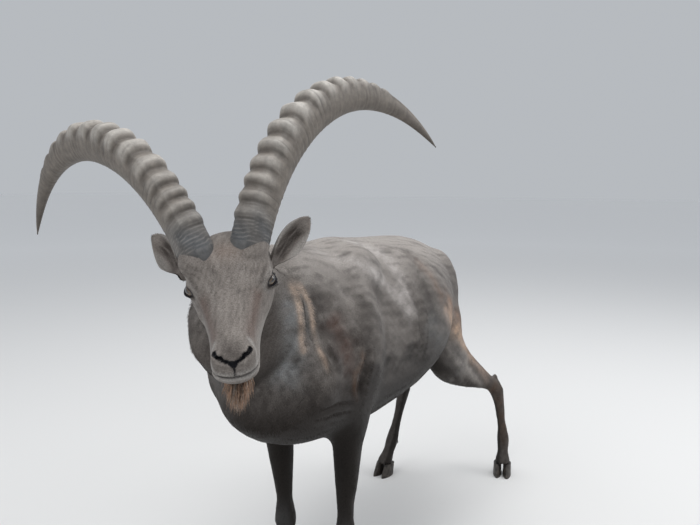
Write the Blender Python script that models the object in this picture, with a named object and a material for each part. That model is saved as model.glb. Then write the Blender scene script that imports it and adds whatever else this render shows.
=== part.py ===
"""Life-size alpine ibex buck, standing in a slow walk with its head low and turned to its left.

Metres, +Z up. The animal faces -Y and its left side is +X. The floor is z = 0.
The flesh is lofted from named stations, fused and smoothed, then parted with thin cuts.
"""

import math

import bmesh
import bpy
import numpy as np
from mathutils import Matrix, Vector

for old in list(bpy.data.objects):
    bpy.data.objects.remove(old, do_unlink=True)

# Driving sizes of the animal.
WITHERS_HEIGHT = 0.885
GAP = 0.0003
FIT_GAP = 0.0005

# The head's pose: the point between the eyes, and how the head is turned, lowered and tipped.
HEAD_AT = Vector((0.040, -0.463, 0.853))
HEAD_YAW = math.radians(32.0)
HEAD_PITCH = math.radians(30.0)
HEAD_ROLL = math.radians(8.2)

# Stations of the trunk: place along Y, top, bottom, half width, how much the top is narrower.
TRUNK = (
    (-0.345, 0.690, 0.580, 0.045, 0.00),
    (-0.310, 0.745, 0.515, 0.098, 0.02),
    (-0.240, 0.800, 0.470, 0.134, 0.05),
    (-0.130, 0.852, 0.448, 0.152, 0.14),
    (0.000, WITHERS_HEIGHT, 0.440, 0.160, 0.24),
    (0.120, 0.878, 0.434, 0.176, 0.20),
    (0.250, 0.868, 0.436, 0.202, 0.12),
    (0.380, 0.862, 0.452, 0.208, 0.10),
    (0.500, 0.856, 0.486, 0.186, 0.10),
    (0.600, 0.836, 0.520, 0.164, 0.12),
    (0.680, 0.798, 0.545, 0.138, 0.12),
    (0.735, 0.750, 0.590, 0.098, 0.08),
    (0.762, 0.705, 0.630, 0.045, 0.00),
)

# Stations of the neck: centre, half width, half depth.
NECK = (
    ((0.000, 0.050, 0.700), 0.120, 0.165),
    ((0.000, -0.090, 0.716), 0.128, 0.162),
    ((-0.006, -0.210, 0.740), 0.124, 0.152),
    ((-0.026, -0.300, 0.754), 0.113, 0.138),
    ((-0.028, -0.368, 0.782), 0.084, 0.108),
)

# Stations of the head in its own frame: place along the face, top, bottom, half width, taper of the top.
HEAD = (
    (-0.140, -0.016, -0.092, 0.040, 0.00),
    (-0.122, 0.010, -0.114, 0.062, 0.04),
    (-0.085, 0.027, -0.128, 0.0750, 0.00),
    (-0.045, 0.025, -0.130, 0.0755, -0.08),
    (-0.010, 0.014, -0.126, 0.0700, -0.16),
    (0.025, 0.004, -0.118, 0.0560, -0.12),
    (0.060, -0.001, -0.108, 0.0465, -0.04),
    (0.095, -0.005, -0.097, 0.0405, 0.06),
    (0.122, -0.008, -0.090, 0.0385, 0.08),
    (0.145, -0.012, -0.086, 0.0365, 0.02),
    (0.160, -0.019, -0.081, 0.0330, 0.00),
    (0.169, -0.029, -0.073, 0.0265, 0.00),
    (0.174, -0.042, -0.060, 0.0130, 0.00),
)

# Leg stations from the body down to the hoof's edge: centre, half width, half depth fore and aft.
LEGS = {
    "front_left": (
        ((0.085, -0.090, 0.700), 0.052, 0.085),
        ((0.100, -0.110, 0.600), 0.058, 0.088),
        ((0.102, -0.080, 0.520), 0.048, 0.070),
        ((0.098, -0.088, 0.450), 0.038, 0.046),
        ((0.101, -0.104, 0.380), 0.030, 0.034),
        ((0.106, -0.122, 0.300), 0.0215, 0.0245),
        ((0.109, -0.131, 0.256), 0.0275, 0.0300),
        ((0.110, -0.137, 0.215), 0.0200, 0.0215),
        ((0.111, -0.144, 0.160), 0.0180, 0.0195),
        ((0.112, -0.149, 0.112), 0.0240, 0.0260),
        ((0.112, -0.166, 0.074), 0.0225, 0.0225),
        ((0.113, -0.182, 0.046), 0.0300, 0.0300),
        ((0.113, -0.188, 0.030), 0.0300, 0.0300),
    ),
    "front_right": (
        ((-0.085, -0.060, 0.700), 0.052, 0.085),
        ((-0.098, -0.090, 0.600), 0.058, 0.088),
        ((-0.088, -0.076, 0.520), 0.048, 0.070),
        ((-0.072, -0.084, 0.450), 0.038, 0.046),
        ((-0.062, -0.090, 0.380), 0.030, 0.034),
        ((-0.053, -0.096, 0.300), 0.0215, 0.0245),
        ((-0.050, -0.099, 0.256), 0.0275, 0.0300),
        ((-0.049, -0.094, 0.215), 0.0200, 0.0215),
        ((-0.048, -0.088, 0.160), 0.0180, 0.0195),
        ((-0.047, -0.083, 0.112), 0.0240, 0.0260),
        ((-0.046, -0.096, 0.074), 0.0225, 0.0225),
        ((-0.045, -0.111, 0.046), 0.0300, 0.0300),
        ((-0.045, -0.117, 0.030), 0.0300, 0.0300),
    ),
    "hind_left": (
        ((0.088, 0.585, 0.690), 0.068, 0.115),
        ((0.112, 0.595, 0.590), 0.072, 0.124),
        ((0.132, 0.610, 0.500), 0.060, 0.105),
        ((0.158, 0.690, 0.430), 0.042, 0.074),
        ((0.192, 0.775, 0.378), 0.029, 0.048),
        ((0.224, 0.848, 0.335), 0.0215, 0.0300),
        ((0.242, 0.886, 0.300), 0.0260, 0.0320),
        ((0.250, 0.908, 0.245), 0.0200, 0.0235),
        ((0.256, 0.924, 0.175), 0.0175, 0.0200),
        ((0.261, 0.936, 0.112), 0.0235, 0.0255),
        ((0.263, 0.924, 0.074), 0.0215, 0.0220),
        ((0.265, 0.909, 0.046), 0.0285, 0.0290),
        ((0.265, 0.903, 0.030), 0.0285, 0.0290),
    ),
    "hind_right": (
        ((-0.088, 0.575, 0.690), 0.068, 0.115),
        ((-0.108, 0.575, 0.590), 0.072, 0.120),
        ((-0.112, 0.575, 0.500), 0.060, 0.098),
        ((-0.096, 0.640, 0.430), 0.042, 0.068),
        ((-0.078, 0.710, 0.372), 0.029, 0.045),
        ((-0.064, 0.772, 0.330), 0.0215, 0.0300),
        ((-0.058, 0.800, 0.298), 0.0260, 0.0320),
        ((-0.068, 0.803, 0.245), 0.0200, 0.0235),
        ((-0.082, 0.798, 0.175), 0.0175, 0.0200),
        ((-0.096, 0.793, 0.112), 0.0235, 0.0255),
        ((-0.103, 0.777, 0.074), 0.0215, 0.0220),
        ((-0.110, 0.760, 0.046), 0.0285, 0.0290),
        ((-0.112, 0.754, 0.030), 0.0285, 0.0290),
    ),
}

# Each leg's reach in x and y, its cut from the body and its cut at the knee or hock, as a point and a normal.
LEG_CUTS = {
    "front_left": (
        (0.025, 0.300, -0.300, 0.080),
        ((0.100, -0.090, 0.490), (-0.45, 0.0, 1.0)),
        ((0.108, -0.130, 0.275), (0.0, 0.1, 1.0)),
    ),
    "front_right": (
        (-0.300, -0.015, -0.300, 0.080),
        ((-0.082, -0.080, 0.490), (0.45, 0.0, 1.0)),
        ((-0.050, -0.098, 0.275), (0.0, 0.1, 1.0)),
    ),
    "hind_left": (
        (0.015, 0.500, 0.400, 1.200),
        ((0.110, 0.590, 0.575), (-0.75, -0.25, 1.0)),
        ((0.235, 0.870, 0.322), (0.0, -1.1, 1.0)),
    ),
    "hind_right": (
        (-0.500, -0.015, 0.400, 1.200),
        ((-0.105, 0.575, 0.575), (0.75, -0.25, 1.0)),
        ((-0.060, 0.786, 0.318), (0.0, -0.9, 1.0)),
    ),
}
HOCK_POINT = {"hind_left": (0.234, 0.898, 0.338), "hind_right": (-0.059, 0.821, 0.335)}

# The planes that part the head from the neck and the neck from the trunk: a point and the way forward.
HEAD_CUT = ((-0.022, -0.357, 0.800), (0.41, -0.90, 0.12))
HEAD_CUT_WIDTH = 0.5
NECK_CUT = ((0.0, -0.200, 0.760), (0.0, -1.0, -0.62))

# Where the toes point, as degrees from straight ahead, positive to the animal's left.
TOE_TURN = {"front_left": 6.0, "front_right": -4.0, "hind_left": 8.0, "hind_right": -12.0}

# Claws: the hoof's height at its edge, its length, and the width of one claw.
CLAW_TOP = 0.0400
CLAW_LENGTH = 0.072
CLAW_WIDTH = 0.0270
CLEFT = 0.0050
DEWCLAW_RADIUS = 0.0085

# How fine the flesh is: the voxels that fuse the lofts, the rounds of smoothing, and the triangles left.
FUSE_VOXEL = 0.0040
FUSE_ROUNDS = 6
FUSE_TRIANGLES = 60000
HEAD_VOXEL = 0.0018
HEAD_TRIANGLES = 3100
BODY_VOXEL = 0.0085
BODY_ROUNDS = 7
BODY_TRIANGLES = 3700

# Horns: length along the curve, size of the base, number of knobs. Angles of each horn in the head's frame.
HORN_LENGTH = 0.79
HORN_DEPTH = 0.077
HORN_WIDTH = 0.060
HORN_BASE = Vector((0.0385, -0.064, 0.004))
HORN_FOOT_SHARE = 0.45
HORN_ROOT = 0.030
PEDICLE = (0.0325, 0.044, 0.028)
HORN_KNOB = 0.0125
# The steep side of a knob faces the head and takes this share of the way to the knob before it.
KNOB_STEEP = 0.34
# The first knob's share of the full height, the growth along the horn, and where and how fast the knobs end.
KNOB_FIRST = 0.30
KNOB_GROWTH = 2.2
KNOBS_END = 0.86
KNOB_FADE = 0.34
HORN_SIDES = 12
# Where the crests of the knobs lie on each horn, as shares of its length.
HORN_CRESTS = {
    "left": (0.062, 0.100, 0.138, 0.178, 0.226, 0.280, 0.342, 0.406, 0.468, 0.524, 0.578, 0.630, 0.680, 0.726),
    "right": (0.064, 0.098, 0.132, 0.172, 0.224, 0.290, 0.350, 0.408, 0.470, 0.538, 0.606, 0.668, 0.728, 0.784),
}
HORN_SHAPE = {
    "left": dict(side=1, rise=44.6, splay=17.9, bend=(2.11, 1.26, -0.48), turn=27.8, twist=0.66, foot=(0.002, -0.014)),
    "right": dict(side=-1, rise=44.3, splay=21.1, bend=(2.33, 1.27, -0.50), turn=29.3, twist=0.39, foot=(-0.015, -0.006)),
}

# Eyes, ears, beard and tail.
EYE_RADIUS = 0.0150
EYE_RINGS = 9
EYE_AT = Vector((0.0630, -0.012, -0.023))
EYE_FACING = Vector((0.82, 0.40, 0.36))
LID_CORNER = 64.0
LID_MIDDLE = 35.0
EAR_LENGTH = 0.096
EAR_WIDTH = 0.048
EAR_THICK = 0.0050
EAR_AT = {1: Vector((0.080, -0.076, -0.026)), -1: Vector((-0.086, -0.078, -0.022))}
EAR_ROOT = -0.16
EAR_ALONG = {1: Vector((0.70, -0.65, 0.30)), -1: Vector((-0.50, -0.84, 0.16))}
BEARD_LENGTH = 0.078
BEARD_LOCKS = 14
TAIL_LENGTH = 0.135

COLOURS = {
    "coat": ((0.20, 0.155, 0.125), 0.85),
    "dark_coat": ((0.055, 0.042, 0.036), 0.85),
    "horn": ((0.29, 0.25, 0.21), 0.6),
    "hoof": ((0.05, 0.045, 0.04), 0.5),
    "eye": ((0.05, 0.04, 0.03), 0.08),
    "beard": ((0.24, 0.14, 0.085), 0.85),
}


def head_matrix():
    """The head's frame: x to its left, y forward along the face, z up off the face."""
    ahead = Vector((math.sin(HEAD_YAW), -math.cos(HEAD_YAW), 0.0))
    left = Vector((math.cos(HEAD_YAW), math.sin(HEAD_YAW), 0.0))
    up = Vector((0.0, 0.0, 1.0))
    forward = ahead * math.cos(HEAD_PITCH) - up * math.sin(HEAD_PITCH)
    crown = up * math.cos(HEAD_PITCH) + ahead * math.sin(HEAD_PITCH)
    across = left * math.cos(HEAD_ROLL) + crown * math.sin(HEAD_ROLL)
    crown = crown * math.cos(HEAD_ROLL) - left * math.sin(HEAD_ROLL)
    turned = Matrix((across, forward, crown)).transposed().to_4x4()
    return Matrix.Translation(HEAD_AT) @ turned


HEAD_FRAME = head_matrix()


def material(name):
    colour, rough = COLOURS[name]
    found = bpy.data.materials.get(name)
    if found:
        return found
    made = bpy.data.materials.new(name)
    made.use_nodes = True
    shader = made.node_tree.nodes["Principled BSDF"]
    shader.inputs["Base Color"].default_value = (*colour, 1.0)
    shader.inputs["Roughness"].default_value = rough
    shader.inputs["Metallic"].default_value = 0.0
    return made


def add_object(name, mesh):
    made = bpy.data.objects.new(name, mesh)
    bpy.context.scene.collection.objects.link(made)
    return made


def mesh_object(name, points, faces, frame=None):
    """A closed mesh from points given in the frame, with its faces turned outward."""
    mesh = bpy.data.meshes.new(name)
    mesh.from_pydata([tuple(p) for p in points], [], faces)
    return placed(add_object(name, mesh), frame or Matrix.Identity(4))


def placed(obj, frame):
    """Moves the mesh into the frame. The animal's own frames are left-handed, so the faces are turned again."""
    work = bmesh.new()
    work.from_mesh(obj.data)
    work.transform(frame)
    bmesh.ops.recalc_face_normals(work, faces=work.faces)
    if work.calc_volume(signed=True) < 0:
        bmesh.ops.reverse_faces(work, faces=work.faces)
    work.to_mesh(obj.data)
    work.free()
    return obj


def smooth_rows(rows, steps):
    """Rows of numbers read off a Catmull-Rom curve through the given rows."""
    rows = np.array(rows, float)
    padded = np.vstack([2 * rows[0] - rows[1], rows, 2 * rows[-1] - rows[-2]])
    found = []
    for i in range(len(rows) - 1):
        a, b, c, d = padded[i : i + 4]
        for k in range(steps):
            t = k / steps
            found.append(
                0.5 * (2 * b + (c - a) * t + (2 * a - 5 * b + 4 * c - d) * t**2 + (3 * b - a - 3 * c + d) * t**3)
            )
    found.append(rows[-1])
    return np.array(found)


def tube(name, centres, across, half_widths, half_depths, tapers=None, sides=28, power=2.2):
    """A closed loft. Each ring is a rounded oval square to the path, with its width along `across`."""
    centres = np.array(centres, float)
    tangents = np.gradient(centres, axis=0)
    tangents /= np.linalg.norm(tangents, axis=1)[:, None]
    tapers = np.zeros(len(centres)) if tapers is None else tapers
    angles = np.linspace(0, 2 * math.pi, sides, endpoint=False)
    wide = np.sign(np.cos(angles)) * np.abs(np.cos(angles)) ** (2 / power)
    tall = np.sign(np.sin(angles)) * np.abs(np.sin(angles)) ** (2 / power)
    points = []
    for centre, along, w, d, taper in zip(centres, tangents, half_widths, half_depths, tapers):
        side = np.array(across) - along * np.dot(across, along)
        side /= np.linalg.norm(side)
        up = np.cross(side, along)
        if up[2] < 0 and abs(along[2]) < 0.8:
            up = -up
        for c, s in zip(wide, tall):
            points.append(centre + side * c * w * (1 - taper * s) + up * s * d)
    rings = len(centres)
    faces = [tuple(range(sides))]
    for i in range(rings - 1):
        for k in range(sides):
            after = (k + 1) % sides
            faces.append((i * sides + k, (i + 1) * sides + k, (i + 1) * sides + after, i * sides + after))
    faces.append(tuple(range((rings - 1) * sides, rings * sides)))
    return mesh_object(name, points, faces)


def apply_modifiers(obj):
    """The object's mesh becomes what its modifiers make of it."""
    graph = bpy.context.evaluated_depsgraph_get()
    mesh = bpy.data.meshes.new_from_object(obj.evaluated_get(graph))
    obj.modifiers.clear()
    obj.data = mesh
    return obj


def triangulated(obj):
    work = bmesh.new()
    work.from_mesh(obj.data)
    bmesh.ops.triangulate(work, faces=work.faces)
    work.to_mesh(obj.data)
    work.free()
    return obj


def joined(name, objects):
    """One object that holds the meshes of all, which are removed."""
    work = bmesh.new()
    for obj in objects:
        work.from_mesh(obj.data)
    mesh = bpy.data.meshes.new(name)
    work.to_mesh(mesh)
    work.free()
    for obj in objects:
        bpy.data.objects.remove(obj, do_unlink=True)
    return add_object(name, mesh)


def remeshed(body, voxel, smoothing, triangles):
    """One even skin round the mesh, smoothed and then thinned to about so many triangles."""
    remesh = body.modifiers.new("fuse", "REMESH")
    remesh.mode = "VOXEL"
    remesh.voxel_size = voxel
    blur = body.modifiers.new("blend", "SMOOTH")
    blur.factor = 0.5
    blur.iterations = smoothing
    apply_modifiers(body)
    triangulated(body)
    if triangles < len(body.data.polygons):
        thin = body.modifiers.new("thin", "DECIMATE")
        thin.ratio = triangles / len(body.data.polygons)
        apply_modifiers(body)
    return body


def fused(name, objects, voxel, smoothing, triangles):
    """The overlapping lofts as one smooth skin."""
    return remeshed(joined(name, objects), voxel, smoothing, triangles)


def boolean(obj, other, operation, remove=True):
    cut = obj.modifiers.new("cut", "BOOLEAN")
    cut.operation = operation
    cut.solver = "MANIFOLD"
    cut.object = other
    apply_modifiers(obj)
    if remove:
        bpy.data.objects.remove(other, do_unlink=True)
    return obj


def largest_shell(obj):
    """Keeps only the largest closed surface of the mesh."""
    work = bmesh.new()
    work.from_mesh(obj.data)
    left, shells = set(work.verts), []
    while left:
        start = left.pop()
        shell, todo = {start}, [start]
        while todo:
            for edge in todo.pop().link_edges:
                for vert in edge.verts:
                    if vert in left:
                        left.remove(vert)
                        shell.add(vert)
                        todo.append(vert)
        low = np.min([v.co for v in shell], axis=0)
        high = np.max([v.co for v in shell], axis=0)
        shells.append((float(np.prod(high - low)), shell))
    shells.sort(key=lambda pair: pair[0])
    spare = [v for _, shell in shells[:-1] for v in shell]
    if spare:
        bmesh.ops.delete(work, geom=spare, context="VERTS")
    work.to_mesh(obj.data)
    work.free()
    return obj


def copy_of(obj, name):
    return add_object(name, obj.data.copy())


def grown(obj, by):
    """A copy of the object with its surface moved out along its normals."""
    swollen = copy_of(obj, obj.name + "_grown")
    normals = [v.normal.copy() for v in swollen.data.vertices]
    for vert, normal in zip(swollen.data.vertices, normals):
        vert.co += normal * by
    return swollen


def fit_to(obj, neighbour):
    """Trims the object where it runs into its neighbour, leaving the gap between them."""
    boolean(obj, grown(neighbour, FIT_GAP), "DIFFERENCE")
    return largest_shell(triangulated(obj))


def half_space(point, normal, shift=0.0, width=1.0):
    """A block with one face on the plane, moved along the normal by the shift, that fills the far side."""
    normal = Vector(normal).normalized()
    turn = normal.to_track_quat("Z", "Y").to_matrix().to_4x4()
    work = bmesh.new()
    bmesh.ops.create_cube(work, size=1.0)
    place = Matrix.Translation(Vector(point) + normal * shift) @ turn
    work.transform(place @ Matrix.Diagonal((width, width, 1.0, 1.0)) @ Matrix.Translation((0, 0, 0.5)))
    mesh = bpy.data.meshes.new("block")
    work.to_mesh(mesh)
    work.free()
    return add_object("block", mesh)


def prism(point, normal, reach, shift):
    """An upright block over the given reach in x and y whose sloping top lies on the plane."""
    normal = Vector(normal).normalized()
    point = Vector(point) + normal * shift
    x0, x1, y0, y1 = reach[0] - shift, reach[1] + shift, reach[2] - shift, reach[3] + shift
    corners = []
    for x, y in ((x0, y0), (x1, y0), (x1, y1), (x0, y1)):
        top = point.z - (normal.x * (x - point.x) + normal.y * (y - point.y)) / normal.z
        corners.append((x, y, -0.2))
        corners.append((x, y, top))
    faces = [(0, 2, 4, 6), (1, 7, 5, 3), (0, 1, 3, 2), (2, 3, 5, 4), (4, 5, 7, 6), (6, 7, 1, 0)]
    return mesh_object("prism", corners, faces)


def split_off(body, name, inner, outer):
    """Parts the body in two: the piece inside the inner block, and what is left outside the outer one."""
    piece = copy_of(body, name)
    boolean(piece, inner, "INTERSECT")
    boolean(body, outer, "DIFFERENCE")
    largest_shell(triangulated(piece))
    largest_shell(triangulated(body))
    return piece


# Flesh


def trunk_loft(name):
    rows = smooth_rows(TRUNK, 4)
    centres = np.stack([np.zeros(len(rows)), rows[:, 0], (rows[:, 1] + rows[:, 2]) / 2], 1)
    return tube(name, centres, (1, 0, 0), rows[:, 3], (rows[:, 1] - rows[:, 2]) / 2, rows[:, 4], 40)


def path_loft(name, stations, sides=24):
    rows = smooth_rows([(*centre, w, d) for centre, w, d in stations], 5)
    return tube(name, rows[:, :3], (1, 0, 0), rows[:, 3], rows[:, 4], None, sides, 2.0)


def head_loft(name):
    rows = smooth_rows(HEAD, 5)
    centres = np.stack([np.zeros(len(rows)), rows[:, 0], (rows[:, 1] + rows[:, 2]) / 2], 1)
    loft = tube(name, centres, (1, 0, 0), rows[:, 3], (rows[:, 1] - rows[:, 2]) / 2, rows[:, 4], 40, 2.3)
    return placed(loft, HEAD_FRAME)


def ball(name, centre, radii, turn=None, rings=16):
    """An ellipsoid, in the frame that `turn` gives."""
    work = bmesh.new()
    bmesh.ops.create_uvsphere(work, u_segments=rings * 2, v_segments=rings, radius=1.0)
    place = Matrix.Translation(Vector(centre)) @ Matrix.Diagonal((*radii, 1.0))
    work.transform(place)
    mesh = bpy.data.meshes.new(name)
    work.to_mesh(mesh)
    work.free()
    return placed(add_object(name, mesh), turn or Matrix.Identity(4))


# Muscle forms of the body: centre, radii, and whether the other side has one too.
MUSCLES = (
    ((0.098, -0.070, 0.640), (0.072, 0.120, 0.170), True),
    ((0.060, 0.000, 0.780), (0.075, 0.150, 0.095), True),
    ((0.085, -0.235, 0.640), (0.062, 0.080, 0.100), True),
    ((0.092, 0.600, 0.660), (0.082, 0.135, 0.150), True),
    ((0.000, 0.120, 0.790), (0.110, 0.220, 0.080), False),
)

# Forms of the head in its own frame: brow, cheekbone, jaw muscle, crown, nose wings and chin, mirrored where marked.
HEAD_FORMS = (
    ((0.050, -0.024, -0.008), (0.024, 0.034, 0.012), True),
    ((0.0560, -0.018, -0.025), (0.0190, 0.030, 0.023), True),
    ((0.046, 0.000, -0.050), (0.018, 0.044, 0.017), True),
    ((0.034, -0.064, -0.078), (0.030, 0.054, 0.046), True),
    ((0.018, 0.150, -0.032), (0.0175, 0.021, 0.0165), True),
    ((0.020, 0.150, -0.058), (0.0170, 0.020, 0.0160), True),
    ((0.000, 0.143, -0.076), (0.0220, 0.020, 0.0120), False),
)


def forms(prefix, table, turn=None):
    made = []
    for i, (centre, radii, both) in enumerate(table):
        for side in (1, -1) if both else (1,):
            place = (centre[0] * side, centre[1], centre[2])
            made.append(ball(f"{prefix}_{i}_{side}", place, radii, turn))
    return made


def body_lofts():
    made = [trunk_loft("trunk_loft"), path_loft("neck_loft", NECK, 32)]
    made += [path_loft(f"{leg}_loft", stations) for leg, stations in LEGS.items()]
    made += forms("muscle", MUSCLES)
    for leg, place in HOCK_POINT.items():
        made.append(ball(f"{leg}_hock", place, (0.013, 0.019, 0.026)))
    for leg, stations in LEGS.items():
        made += dewclaws(leg, stations)
    return made


def toe_frame(leg):
    """The foot's frame on the floor: x across the foot, y towards the toe."""
    edge = Vector(LEGS[leg][-2][0])
    turn = math.radians(TOE_TURN[leg])
    ahead = Vector((math.sin(turn), -math.cos(turn), 0.0))
    left = Vector((math.cos(turn), math.sin(turn), 0.0))
    turned = Matrix((left, ahead, Vector((0, 0, 1)))).transposed().to_4x4()
    return Matrix.Translation((edge.x, edge.y, 0.0)) @ turned


def dewclaws(leg, stations):
    """Two small horn knobs behind the foot joint."""
    joint = Vector(stations[-4][0])
    behind = stations[-4][2]
    made = []
    for side in (1, -1):
        place = joint + Vector((side * 0.015, behind + 0.000, -0.016))
        radii = (DEWCLAW_RADIUS, DEWCLAW_RADIUS, DEWCLAW_RADIUS * 1.5)
        made.append(ball(f"{leg}_dewclaw_{side}", place, radii, None, 8))
    return made


# Head features


def strand(name, points, radii, turn=None, sides=6):
    """A thin round tube through the points, closed at both ends."""
    rows = smooth_rows([(*p, r) for p, r in zip(points, radii)], 3)
    made = tube(name, rows[:, :3], (0.37, 0.51, 0.77), rows[:, 3], rows[:, 3], None, sides, 2.0)
    return placed(made, turn or Matrix.Identity(4))


def lid(side, upper):
    """One eyelid: a ridge that lies on the eyeball and leaves an almond-shaped opening."""
    facing = Vector((side * EYE_FACING.x, EYE_FACING.y, EYE_FACING.z)).normalized()
    along = Vector((0.0, 1.0, 0.0))
    along = (along - facing * along.dot(facing)).normalized()
    rise = facing.cross(along)
    if (rise.z > 0) != upper:
        rise = -rise
    centre = Vector((side * EYE_AT.x, EYE_AT.y, EYE_AT.z))
    points = []
    for k in range(7):
        turn = math.radians(-6 + 192 * k / 6)
        open_to = math.radians(LID_CORNER - (LID_CORNER - LID_MIDDLE) * max(0.0, math.sin(turn)))
        around = along * math.cos(turn) + rise * math.sin(turn)
        points.append(centre + (facing * math.cos(open_to) + around * math.sin(open_to)) * (EYE_RADIUS + 0.0010))
    radii = [0.0026, 0.0038, 0.0046, 0.0048, 0.0046, 0.0038, 0.0026]
    return strand(f"lid_{side}_{upper}", points, radii, HEAD_FRAME)


def mouth_cut(side):
    """The mouth line from under the nose back along the cheek."""
    points = [
        (side * 0.0005, 0.1760, -0.0506),
        (side * 0.0140, 0.1745, -0.0498),
        (side * 0.0270, 0.1680, -0.0490),
        (side * 0.0345, 0.1500, -0.0530),
        (side * 0.0385, 0.1260, -0.0590),
        (side * 0.0430, 0.1000, -0.0640),
    ]
    radii = [0.0026, 0.0027, 0.0028, 0.0028, 0.0024, 0.0014]
    return strand(f"mouth_{side}", points, radii, HEAD_FRAME)


def nostril_cut(side):
    """A comma-shaped nostril that opens to the front and curls up at its outer end."""
    points = [
        (side * 0.0050, 0.1700, -0.0275),
        (side * 0.0105, 0.1675, -0.0248),
        (side * 0.0175, 0.1630, -0.0238),
        (side * 0.0240, 0.1575, -0.0208),
        (side * 0.0290, 0.1485, -0.0180),
    ]
    radii = [0.0028, 0.0042, 0.0050, 0.0042, 0.0016]
    return strand(f"nostril_{side}", points, radii, HEAD_FRAME)


def lip_groove():
    points = [(0, 0.1725, -0.030), (0, 0.1750, -0.040), (0, 0.1760, -0.050)]
    return strand("lip_groove", points, [0.0018, 0.0020, 0.0020], HEAD_FRAME)


def eye(side):
    centre = HEAD_FRAME @ Vector((side * EYE_AT.x, EYE_AT.y, EYE_AT.z))
    made = ball("eye_left" if side > 0 else "eye_right", centre, [EYE_RADIUS] * 3, None, EYE_RINGS)
    made.data.materials.append(material("eye"))
    return made


def pedicles():
    """The raised root of each horn under the skin."""
    made = []
    for name, shape in HORN_SHAPE.items():
        foot = shape["foot"]
        centre = (shape["side"] * HORN_BASE.x + foot[0], HORN_BASE.y + foot[1] + 0.014, HORN_BASE.z)
        made.append(ball(f"pedicle_{name}", centre, PEDICLE, HEAD_FRAME))
    return made


def build_head():
    """The head and the top of the neck as one fine skin with its lids, nostrils and mouth, cut free."""
    lofts = [head_loft("head_loft"), path_loft("neck_loft", NECK, 32)] + pedicles()
    lofts += forms("form", HEAD_FORMS, HEAD_FRAME)
    head = fused("head", lofts, FUSE_VOXEL, FUSE_ROUNDS, FUSE_TRIANGLES)
    boolean(head, half_space(*HEAD_CUT, -0.02, HEAD_CUT_WIDTH), "INTERSECT")
    sockets = []
    for side in (1, -1):
        centre = HEAD_FRAME @ Vector((side * EYE_AT.x, EYE_AT.y, EYE_AT.z))
        sockets.append(ball("socket", centre, [EYE_RADIUS + FIT_GAP] * 3, None, EYE_RINGS))
        for upper in (True, False):
            boolean(head, lid(side, upper), "UNION")
        boolean(head, mouth_cut(side), "DIFFERENCE")
        boolean(head, nostril_cut(side), "DIFFERENCE")
    boolean(head, lip_groove(), "DIFFERENCE")
    boolean(head, sockets[0], "DIFFERENCE", False)
    boolean(head, sockets[1], "DIFFERENCE", False)
    remeshed(head, HEAD_VOXEL, 1, HEAD_TRIANGLES)
    for socket in sockets:
        boolean(head, socket, "DIFFERENCE")
    boolean(head, half_space(*HEAD_CUT, GAP / 2, HEAD_CUT_WIDTH), "INTERSECT")
    return largest_shell(triangulated(head))


# Ears, horns, beard, tail, claws


def ear(side):
    """A cupped leaf with its hollow turned forward, its edges rolled in near the base."""
    rows, columns = 12, 8
    front, back = [], []
    for i in range(rows):
        t = EAR_ROOT + (1 - EAR_ROOT) * (1 - (1 - i / (rows - 1)) ** 1.4)
        breadth = math.sin(math.pi * (0.17 + 0.83 * max(t, 0.0)) ** 1.12) ** 0.62 if t < 1 else 0.0
        half = max(EAR_WIDTH / 2 * (breadth + 2.0 * min(t, 0.0)), 0.0040)
        curl = 1.25 - 0.80 * t
        for k in range(columns + 1):
            v = 2 * k / columns - 1
            angle = v * math.pi / 2 * curl
            spread = math.sin(math.pi / 2 * min(curl, 1.0))
            x = half * math.sin(angle) / spread
            z = 0.95 * half * (1 - math.cos(angle)) / spread - 0.010 * math.sin(math.pi * t)
            thick = EAR_THICK * (1 - 0.45 * abs(v)) * (1 - 0.45 * t)
            front.append((x * 0.94, t * EAR_LENGTH, z))
            back.append((x * 1.04, t * (EAR_LENGTH + 0.002), z - thick))
    width = columns + 1
    count = rows * width
    faces = []
    for i in range(rows - 1):
        for k in range(columns):
            a, b, c, d = i * width + k, i * width + k + 1, (i + 1) * width + k + 1, (i + 1) * width + k
            faces += [(a, b, c), (a, c, d)]
            faces += [(count + a, count + c, count + b), (count + a, count + d, count + c)]
        for k in (0, columns):
            a, d = i * width + k, (i + 1) * width + k
            faces += [(a, d, count + d), (a, count + d, count + a)]
    for k in range(columns):
        for i in (0, rows - 1):
            a, b = i * width + k, i * width + k + 1
            faces += [(a, count + a, count + b), (a, count + b, b)]
    return mesh_object("ear_left" if side > 0 else "ear_right", front + back, faces, HEAD_FRAME @ ear_frame(side))


def ear_frame(side):
    """Where an ear grows and how it points, in the head's frame: y along the ear, z out of its hollow."""
    along = EAR_ALONG[side].normalized()
    hollow = Vector((side * 0.34, 0.74, 0.48))
    hollow = (hollow - along * hollow.dot(along)).normalized()
    across = along.cross(hollow)
    turned = Matrix((across, along, hollow)).transposed().to_4x4()
    return Matrix.Translation(EAR_AT[side]) @ turned


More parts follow.
